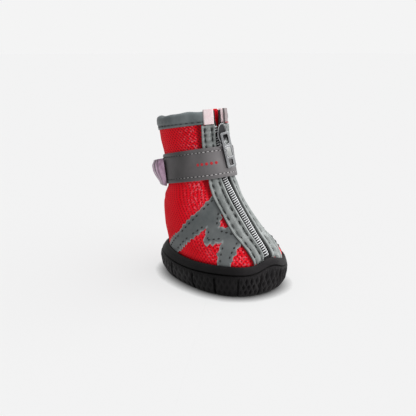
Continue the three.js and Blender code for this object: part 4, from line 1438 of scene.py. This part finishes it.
def placket_tone(side):
    """Painted shade in the two seams, painted shadow on the outer edge's side, by the teeth and under the
    caps, and painted highlights on the crests.
    """
    def tone(u, v):
        across = placket_across(u, side)
        above = soft(v, 0.8, 0.88)
        seam_width = 0.4 + 0.25 * above
        seams = two_seams(across, seam_width)
        pinch = 0.5 + 0.5 * np.cos(2 * math.pi * v * PLACKET_LENGTH / PLACKET_STITCH + math.pi)
        crests = bell(across, 3.3, 0.3) + bell(across, 8.25, 0.3)
        fold = 1 - soft(across, 2.8, 3.2 if side > 0 else 3.0)
        edges = 1.25 * soft(across, 8.7, 8.84) + (1.2 if side > 0 else 0.7) * fold
        run = v * PLACKET_LENGTH
        mottle = 0.16 * np.sin(run * 0.37 + 0.8) * np.sin(run * 0.9 + across)
        mottle = mottle * (across > 4.6) * (across < 7.5)
        under_cap = 0.6 * soft(v, 0.975, 0.99)
        # Lighter at the foot, and painted light on the right placket, which faces the key light.
        wear_and_painted_light = 0.16 * (1 - soft(v, 0.08, 0.3)) + 0.1 * (side > 0)
        return 0.4 * crests - (0.75 + 0.2 * above) * seams * pinch - 0.75 * edges + mottle + wear_and_painted_light - under_cap
    return tone


def placket_place(side):
    def place(u, v):
        across = placket_across(u, side)
        broad = 1.7 * (side > 0) * (across - 2.8) / 6.2
        foot = lip_height(across + broad) - 1.2 - 0.4 * broad
        height = foot + v * (PLACKET_TOP - foot)
        tucked = (0.3 + 0.7 * soft(height - foot, 0.7, 2.2)) * (1 - 0.7 * soft(height, 82.2, 83))
        flare = 0.8 * bell(height, 30, 9) - 0.5 * bell(height, 56, 8)
        by_teeth = (side > 0) * (1 - soft(across, 2.9, 4.6))
        wobble = 0.15 * np.sin(v * 19 + side) * (across > 8) - 0.15 * by_teeth
        wobble = wobble + flare * (across - 2.8) / 6.2 + broad * (1 - soft(height, 24, 38))
        proud = placket_proud(across, v * PLACKET_LENGTH) * tucked * (1 - 0.4 * by_teeth * (across > 2.85))
        return on_last(angle_across(side * (across + wobble), height), height, proud)
    return place


print("rolled edge", placket_proud(8.3, 0.0).round(2), "mm proud at the foot")

# %% Lay and sew the plackets
for hand, side in (("left", -1), ("right", 1)):
    placket = lay_piece(
        "leather_placket_" + hand, 40, 240, placket_place(side), 9, PLACKET_LENGTH, placket_tone(side)
    )
    thicken(placket, 0.45)
    finish(placket, placket_leather, "placket_leather", ["placket_" + hand], crease=60)
    seams = []
    for across in PLACKET_SEAMS:
        foot = lip_height(np.array(across)) + 1.5
        climb = np.linspace(foot, PLACKET_TOP - 2.2, 120)
        line = angle_across(np.full_like(climb, side * across), climb)
        seams.append(places_along(line, climb, 1.02, PLACKET_STITCH))
    stitches = repeat("placket_stitches_" + hand, stitch_model(2.1, 0.7), np.concatenate(seams))
    finish(stitches, dark_thread, "placket_leather", crease=180)

# %% [markdown]
# ## The collar
# A leather binding is folded over the top edge and sewn through near its lower edge. Its two
# ends are finished with short reflective ribbons, folded round into the gap over the zip.
# A curve with a drawn section would do, but it would twist where the collar dips. So the
# section is a table of heights, and a grid is laid round the last by it.

# %% Fold the binding over the edge
BINDING_PROFILE = {  # height, proud
    "outer lower edge, tucked": (83.15, 0.35),
    "outer lower edge": (83.2, 0.95),
    "outer edge's roll": (83.7, 1.25),
    "seam": (84.7, 0.95),
    "puff over the seam": (86.2, 1.55),
    "outer face": (88.2, 1.6),
    "shoulder": (89.8, 1.25),
    "top, outside": (90.5, 0.3),
    "top": (90.75, -0.9),
    "top, inside": (90.4, -2.1),
    "inner shoulder": (89.4, -2.95),
    "inner face": (86, -3.1),
    "inner lower edge": (83.2, -3.0),
}
BINDING_FRONT = 7.1
BINDING_LENGTH = 118
BINDING_STITCH = 3.7
BINDING_SEAM = 84.7
fold = np.array(list(BINDING_PROFILE.values()))
fold_length = length_along(fold)
print("binding", round(fold_length[-1], 1), "mm round its fold")


# %% Lay and sew the binding
def binding_place(u, v):
    at = (1 - v) * fold_length[-1]
    height, proud = (np.interp(at, fold_length, fold[:, k]) for k in (0, 1))
    start = angle_across(BINDING_FRONT, height)
    angle = start + u * (2 * math.pi - 2 * start)
    top = soft(height, 86, 90.5)
    wave = 0.28 * np.sin(5 * angle + 0.6) + 0.16 * np.sin(11 * angle)
    run = u * BINDING_LENGTH
    pucker = np.cos(2 * math.pi * run / BINDING_STITCH) * (proud > 0)
    seam = bell(height, BINDING_SEAM, 0.6) * 0.16 - bell(height, 86.4, 1) * 0.08
    tuck = 0.6 * bell(np.minimum(run, BINDING_LENGTH - run), 0, 0.9) * np.sign(proud)
    return on_last(angle, height + wave * top, proud - tuck + pucker * seam + 0.15 * np.sin(7 * angle) * top)


def binding_painted_light(u, v):
    """Painted light: a highlight along the top fold and more light towards the front, painted shade in the
    seam, and a painted shadow at the ends under the ribbons.
    """
    at = (1 - v) * fold_length[-1]
    height, proud = (np.interp(at, fold_length, fold[:, k]) for k in (0, 1))
    turn = np.abs(2 * u - 1)
    seam = bell(height, BINDING_SEAM, 0.45) * (proud > 0)
    tucked = 0.85 * soft(turn, 0.968, 0.985)
    return 0.6 * soft(height, 88.5, 90.3) + 0.82 * soft(turn, 0.45, 0.9) - 0.7 * seam - 0.08 - tucked


binding = lay_piece("leather_collar_binding", 300, 44, binding_place, BINDING_LENGTH, 17, binding_painted_light)
edit(binding, bpy.ops.mesh.flip_normals)
thicken(binding, 0.7)
finish(binding, binding_leather, "binding_leather", ["collar_binding"], crease=60)
turns = np.linspace(0.36, 2 * math.pi - 0.36, 400)
seam = places_along(turns, np.full_like(turns, BINDING_SEAM), 1.0, BINDING_STITCH)
stitches = repeat("collar_stitches", stitch_model(2.3, 0.55), seam)
finish(stitches, dark_thread, "binding_leather", crease=180)

# %% Fold the end ribbons
CAP = {"inner": 3.2, "outer": 7.7, "foot": 82.9, "top": 91.4, "face": 1.45, "back": -2.1}
cap_path = np.array([
    (CAP["outer"], CAP["face"] - 0.15), (CAP["outer"] - 0.5, CAP["face"]), (CAP["inner"] + 0.5, CAP["face"]),
    (CAP["inner"], CAP["face"] - 0.5), (CAP["inner"], CAP["back"]),
])
cap_length = length_along(cap_path)


def cap_place(side):
    def place(u, v):
        at = u * cap_length[-1] if side < 0 else (1 - u) * cap_length[-1]
        across, proud = (np.interp(at, cap_length, cap_path[:, k]) for k in (0, 1))
        height = CAP["foot"] + v * (CAP["top"] - CAP["foot"])
        puff = 0.15 * np.sin(math.pi * v) * (proud > 1)
        return on_last(angle_across(side * across, height), height, proud + puff)
    return place


def cap_tone(side):
    """The right ribbon's face is darker, with painted shade at both folds and outer edges, and a painted
    highlight on the right one's return.
    """
    def tone(u, v):
        at = u * cap_length[-1] if side < 0 else (1 - u) * cap_length[-1]
        darker_face = 0.62 * (at < cap_length[3]) if side > 0 else 0
        fold = bell(at, cap_length[3], 0.4) * (0.8 if side > 0 else 0.2)
        start = 0.6 * (1 - soft(at, 0.1, 0.6))
        painted_highlight = 0.5 * soft(at, cap_length[3] + 0.5, cap_length[3] + 0.9) if side > 0 else 0
        return painted_highlight + 0.12 * (side < 0) - np.minimum(0.95, darker_face + fold + start)
    return tone


for hand, side in (("left", -1), ("right", 1)):
    cap = lay_piece("ribbon_cap_" + hand, 40, 24, cap_place(side), 8, 8.5, cap_tone(side))
    thicken(cap, 0.6)
    round_edges(cap, 0.12)
    finish(cap, silver_ribbon, "silver_ribbon", ["collar_cap_" + hand], crease=60)
tack_height = np.full(12, 83.3)
tack_line = angle_across(np.linspace(3.6, 7.4, 12), tack_height)
tack = repeat("red_bar_tack", stitch_model(1.1, 0.55), places_along(tack_line, tack_height, 1.6, 0.8))
finish(tack, red_thread, "gusset_mesh", crease=180)

# %% [markdown]
# ## The strap
# The ankle strap is dark leather, sewn along both edges. It lies close on the mesh, climbs
# over the plackets in front, and its slack is a fold of reflective ribbon at the left rear.
# Shrinkwrap would press it into every hole of the mesh, so it stands off the last by a
# distance that only rises where there is something under it.

# %% Wrap the strap
STRAP = {"foot": 53.4, "top": 69.9, "thickness": 1.2, "standoff": 0.5, "front": 1.8, "start": 35, "end": 50}
STRAP_SEAM = 2.1
STRAP_STITCH = 2.4


def strap_standoff(angle):
    """How far the strap's back stands off: more in front, where it climbs over the plackets."""
    degrees = np.abs(degrees_round(angle))
    climb = 1 - soft(degrees, STRAP["start"], STRAP["end"])
    return STRAP["standoff"] + climb * (STRAP["front"] - STRAP["standoff"])


def strap_outside(angle, height):
    """How proud the strap's face is: thin at its edges, full between, sunk at the seams."""
    edge = np.minimum(height - STRAP["foot"], STRAP["top"] - height)
    roll = 0.35 * (1 - soft(edge, 0, 0.9))
    seam = 0.16 * bell(edge, STRAP_SEAM, 0.5)
    return strap_standoff(angle) + STRAP["thickness"] - roll - seam + 0.12 * np.sin(3 * angle + height * 0.15)


def strap_place(u, v):
    angle = 2 * math.pi * u + math.pi
    height = STRAP["foot"] + v * (STRAP["top"] - STRAP["foot"])
    return on_last(angle, height, strap_outside(angle, height))


def strap_tone(u, v):
    """Painted light, brighter in front, painted shade in the stitched channels, and lighter along the cut
    lower edge.
    """
    angle = 2 * math.pi * u + math.pi
    height = STRAP["foot"] + v * (STRAP["top"] - STRAP["foot"])
    edge = np.minimum(height - STRAP["foot"], STRAP["top"] - height)
    channel = bell(edge, STRAP_SEAM, 0.35)
    cut = 1 - soft(height - STRAP["foot"], 0.1, 0.5)
    front = 0.9 * soft(np.cos(angle), 0.2, 1) + 0.42 * soft(np.cos(angle), 0.8, 1)
    return front - 0.3 * channel - 0.3 + 0.5 * cut


strap = lay_piece("leather_strap", 300, 40, strap_place, 125, 16.5, strap_tone)
edit(strap, weld)
thicken(strap, 1.0)
finish(strap, strap_leather, "strap_leather", ["strap"], crease=60)

# %% Sew the strap
turns = np.linspace(-math.pi, math.pi, 500)
seam_heights = (STRAP["foot"] + STRAP_SEAM, STRAP["top"] - STRAP_SEAM)


def strap_seams(proud, first):
    rows = []
    for height in seam_heights:
        level = np.full_like(turns, height)
        rows.append(places_along(turns, level, strap_outside(turns, level) + proud, STRAP_STITCH, first))
    return np.concatenate(rows)


seams = strap_seams(0.02, 0.5)
stitches = repeat("strap_stitches", stitch_model(1.4, 0.5), seams)
# Painted light on the pale thread: bright in front, and painted shade darkens it towards the back.
ahead = -seams[:, 1, 3] / MM
painted_light_on_thread = 0.9 * soft(ahead, -16, 8) - 0.92
paint(stitches, np.repeat(painted_light_on_thread, len(stitches.data.vertices) // len(seams)))
finish(stitches, pale_thread, "strap_leather", crease=180)
pricks = repeat("strap_pricks", stitch_model(0.8, 0.6), strap_seams(0, 0.0))
finish(pricks, dark_thread, "strap_leather", crease=180)

# %% [markdown]
# ### The strap's slack
# Behind, on the left, the strap's reflective backing stands off in a soft fold. A cloth
# simulation would settle into another fold after each small change. So it is a grid on the
# same last whose middle bows out, less at its foot than at its top, with the upright ripples
# of ribbon that has been folded.

# %% Fold the slack ribbon
SLACK = {"middle": -146, "half": 30, "standoff": 6.2, "thickness": 0.8}


def slack_place(u, v):
    across = 2 * u - 1
    height = STRAP["foot"] - 1.8 + v * (STRAP["top"] - STRAP["foot"] - 0.4)
    bow = np.cos(math.pi / 2 * across) ** 0.75
    reach = SLACK["standoff"] * (0.25 + 0.75 * soft(v, -0.1, 0.7)) * bow
    ripple = (0.3 * np.sin(9 * across + 1.4) + 0.16 * np.sin(17 * across)) * np.abs(bow)
    lip = -1.5 * soft(v, 0.82, 1) * bow
    rest = STRAP["standoff"] + STRAP["thickness"] + 0.3 + SLACK["thickness"]
    angle = np.radians(SLACK["middle"] + SLACK["half"] * across)
    return on_last(angle, height, rest + reach + ripple + lip)


# Painted highlights and shade in upright streaks, painted shade at the curled top lip, and darker at the
# foot.
def slack_tone(u, v):
    painted_streaks = 0.85 * np.sin(31 * u + 0.5) * np.sin(11 * u) + 0.3 * np.sin(64 * u)
    return painted_streaks + 0.02 - 0.4 * soft(v, 0.84, 1) - 0.35 * (1 - soft(v, 0, 0.3))


slack = lay_piece("ribbon_slack", 90, 30, slack_place, 34, 15.5, slack_tone)
thicken(slack, SLACK["thickness"])
round_edges(slack, 0.2)
finish(slack, lilac_ribbon, "lilac_ribbon", ["strap_loop"], crease=60)

# %% [markdown]
# ### A row of dots
# A plain row of red dots is embroidered on the strap's front. Each is a low satin stitched
# disc. Its threads are too fine to tell apart, so a sphere pressed flat stands for all of them.

# %% Embroider the dots
DOTS = {"count": 5, "first": -50, "last": -14, "height": 61.6, "across": 1.7}
turns = np.radians(np.linspace(DOTS["first"], DOTS["last"], 40))
level = np.full_like(turns, DOTS["height"])
spots = places_along(turns, level, strap_outside(turns, level) - 0.05, 2.9)[: DOTS["count"]]
bpy.ops.object.select_all(action="DESELECT")
bpy.ops.mesh.primitive_uv_sphere_add(segments=20, ring_count=10, radius=0.5)
dot_size = (DOTS["across"] * MM, DOTS["across"] * MM, 0.5 * MM)
edit(bpy.context.object, lambda: bpy.ops.transform.resize(value=dot_size))
finish(repeat("red_dots", bpy.context.object, spots), red_thread, "strap_leather", crease=180)

# %% [markdown]
# ## The slider and its pull
# The slider is a cast oval body with a raised rim and a hollow in painted shade, and an arched bridge in
# painted highlight.
# The pull is a stamped tab with an eye that hangs on the bridge, a raised frame round a bare
# panel, and a small window. They could be placed by hand on the sloping zip, but metal parts
# are easier to build square. So all sizes are taken in the zip's own frame, with X across, Y
# up along it and Z outwards, and each finished part is moved there in one step.

# %% The zip's own frame
SLIDER = {"length": 11, "width": 6.4, "standoff": 1.9, "plate": 1.0}
BRIDGE = {"length": 7.4, "width": 1.5, "opening": 2.4, "bar": 0.8}
PULL = {"length": 19.6, "width": 6.2, "thickness": 1.3, "head": 1.2, "eye": 5.2, "lean": 6.5, "turn": 8}


def zip_frame(height, proud):
    """A 4 by 4 place on the zip's middle line, which takes millimetres to metres."""
    at = Vector(on_last(np.array([0.0]), np.array([height]), np.array([proud]))[0])
    foot, head = (Vector(on_last(np.array([0.0]), np.array([height + step]), 0)[0]) for step in (-0.5, 0.5))
    up = (head - foot).normalized()
    across = Vector((1, 0, 0))
    turned = Matrix((across, up, across.cross(up))).transposed().to_4x4()
    return Matrix.Translation(at) @ turned @ Matrix.Scale(MM, 4)


def settle(piece, place):
    """Moves a model's points to their place and leaves the object at the origin."""
    piece.data.transform(place)
    piece.data.update()
    return piece


def plate_with_nickel(piece):
    """Gives a part its three finishes: plain nickel, nickel with painted shade, and nickel with a painted
    highlight.
    """
    for metal in (nickel, shadowed_nickel, highlight_nickel):
        piece.data.materials.append(metal)


print("slider at", list(zip_frame(SLIDER_HEIGHT, SLIDER["standoff"]).translation))

# %% Cast the slider's body
bpy.ops.object.select_all(action="DESELECT")
bpy.ops.mesh.primitive_circle_add(vertices=64, radius=0.5, fill_type="NGON")
body = bpy.context.object
edit(
    body,
    lambda: bpy.ops.transform.resize(value=(SLIDER["width"], SLIDER["length"], 1)),
    lambda: bpy.ops.mesh.extrude_region_move(TRANSFORM_OT_translate={"value": (0, 0, SLIDER["plate"])}),
    lambda: bpy.ops.mesh.inset(thickness=0.75),
    lambda: bpy.ops.transform.translate(value=(0, 0, -0.55)),
)
edit(body, lambda: bpy.ops.mesh.normals_make_consistent(inside=False))
apply_modifier(body, "BEVEL", width=0.22, segments=3, angle_limit=math.radians(40))
plate_with_nickel(body)
# The hollow's floor gets the painted shade, and the top of the rim the painted highlight.
for face in body.data.polygons:
    height = face.center.z
    hollow_face = face.normal.z > 0.9 and height < SLIDER["plate"] - 0.4
    face.material_index = 1 if hollow_face else 2 if height > SLIDER["plate"] - 0.3 else 0
print("slider body", len(body.data.polygons), "faces")

# %% Bend the bridge
bpy.ops.object.select_all(action="DESELECT")
bpy.ops.mesh.primitive_circle_add(vertices=16, radius=0.5, fill_type="NGON")
bridge = bpy.context.object
reach = BRIDGE["length"] / 2 - BRIDGE["bar"] / 2
squash = (BRIDGE["opening"] + BRIDGE["bar"]) / (reach + BRIDGE["bar"] / 2)
edit(
    bridge,
    lambda: bpy.ops.transform.resize(value=(BRIDGE["width"], BRIDGE["bar"], 1)),
    lambda: bpy.ops.transform.translate(value=(0, reach, 0)),
    lambda: bpy.ops.mesh.spin(steps=28, angle=math.pi, center=(0, 0, 0), axis=(1, 0, 0)),
    lambda: bpy.ops.mesh.select_all(action="SELECT"),
    lambda: bpy.ops.transform.resize(value=(1, 1, squash)),
    lambda: bpy.ops.transform.translate(value=(0, 0, SLIDER["plate"] - 0.4)),
    lambda: bpy.ops.mesh.normals_make_consistent(inside=False),
)
# The bridge gets the painted highlight all over.
bridge.data.materials.append(highlight_nickel)
slider = join([body, bridge], "slider")
settle(slider, zip_frame(SLIDER_HEIGHT, SLIDER["standoff"]))
finish(slider, nickel, "nickel", ["zip_slider"])


# %% Tools for a stamped plate
def rounded(wide, tall, radius, middle=0.0, steps=5):
    """Corners of a rectangle with round corners, as a closed outline."""
    points = []
    for k, (sx, sy) in enumerate(((1, 1), (-1, 1), (-1, -1), (1, -1))):
        for turn in np.radians(np.linspace(0, 90, steps) + 90 * k):
            x = sx * (wide / 2 - radius) + radius * math.cos(turn)
            points.append((x, middle + sy * (tall / 2 - radius) + radius * math.sin(turn)))
    return points


def stamped(name, outlines, top, thick, bevel):
    """A plate cut to its first outline, with the others as holes, and its edges rounded."""
    points = [Vector(point) for outline in outlines for point in outline]
    ends = np.cumsum([0] + [len(outline) for outline in outlines]).tolist()
    rings = [list(range(start, end)) for start, end in zip(ends, ends[1:])]
    flat, _, faces, *_ = delaunay_2d_cdt(points, [], rings, 2, 1e-5)
    mesh = bpy.data.meshes.new(name)
    mesh.from_pydata([(x, y, top) for x, y in flat], [], faces)
    plate = bpy.data.objects.new(name, mesh)
    bpy.context.scene.collection.objects.link(plate)
    edit(plate, lambda: bpy.ops.mesh.normals_make_consistent(inside=False))
    if plate.data.polygons[0].normal.z < 0:
        edit(plate, bpy.ops.mesh.flip_normals)
    edit(plate, lambda: bpy.ops.mesh.dissolve_limited(angle_limit=math.radians(1)))
    apply_modifier(plate, "SOLIDIFY", thickness=thick, offset=-1)
    apply_modifier(plate, "BEVEL", width=bevel, segments=3, angle_limit=math.radians(50))
    plate_with_nickel(plate)
    # Steep side walls get the painted shade, the rounded edges the painted highlight, flat faces plain
    # nickel.
    for face in plate.data.polygons:
        steep = abs(face.normal.z)
        face.material_index = 1 if steep < 0.2 else 2 if steep < 0.97 else 0
    return plate


print("helper", stamped.__name__)

# %% Stamp and hang the pull
WINDOW = {"wide": 2.8, "tall": 3.4, "end": 1.2}
head = PULL["head"] / 2
foot = head - PULL["length"]
window_middle = foot + WINDOW["end"] + WINDOW["tall"] / 2
frame_middle = (-head - PULL["eye"] + window_middle + WINDOW["tall"] / 2) / 2 - 0.1
plate = stamped("pull_plate", [
    rounded(PULL["width"], PULL["length"], 0.9, (head + foot) / 2),
    rounded(3.4, PULL["eye"], 0.8, -head - PULL["eye"] / 2),
    rounded(WINDOW["wide"], WINDOW["tall"], 0.4, window_middle),
], 0.65, PULL["thickness"], 0.2)
raised = stamped("pull_frame", [
    rounded(5.0, 6.8, 0.7, frame_middle), rounded(3.9, 5.7, 0.5, frame_middle),
], 0.95, 0.5, 0.12)
panel = stamped("pull_panel", [rounded(3.2, 4.8, 0.6, frame_middle)], 0.85, 0.4, 0.12)
panel.data.materials[0] = brushed_nickel
pull = join([plate, raised, panel], "pull_tab")
lean = Matrix.Rotation(math.radians(-PULL["lean"]), 4, "X")
turn = Matrix.Rotation(math.radians(PULL["turn"]), 4, "Z")
hang = lean @ turn
hinge_proud = SLIDER["standoff"] + SLIDER["plate"] + BRIDGE["opening"] / 2
settle(pull, zip_frame(SLIDER_HEIGHT, hinge_proud) @ hang)
finish(pull, nickel, "nickel", ["zip_pull"], body="pull")

# %% [markdown]
# ## Measure
# The box round the finished boot is written down beside the CAD's, so that the two can be
# compared. They should differ by no more than the fine relief that the CAD leaves out.

# %% Measure and finish
size = {"cad": cad_box, "visual": [list(corner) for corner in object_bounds()]}
print("size", size)
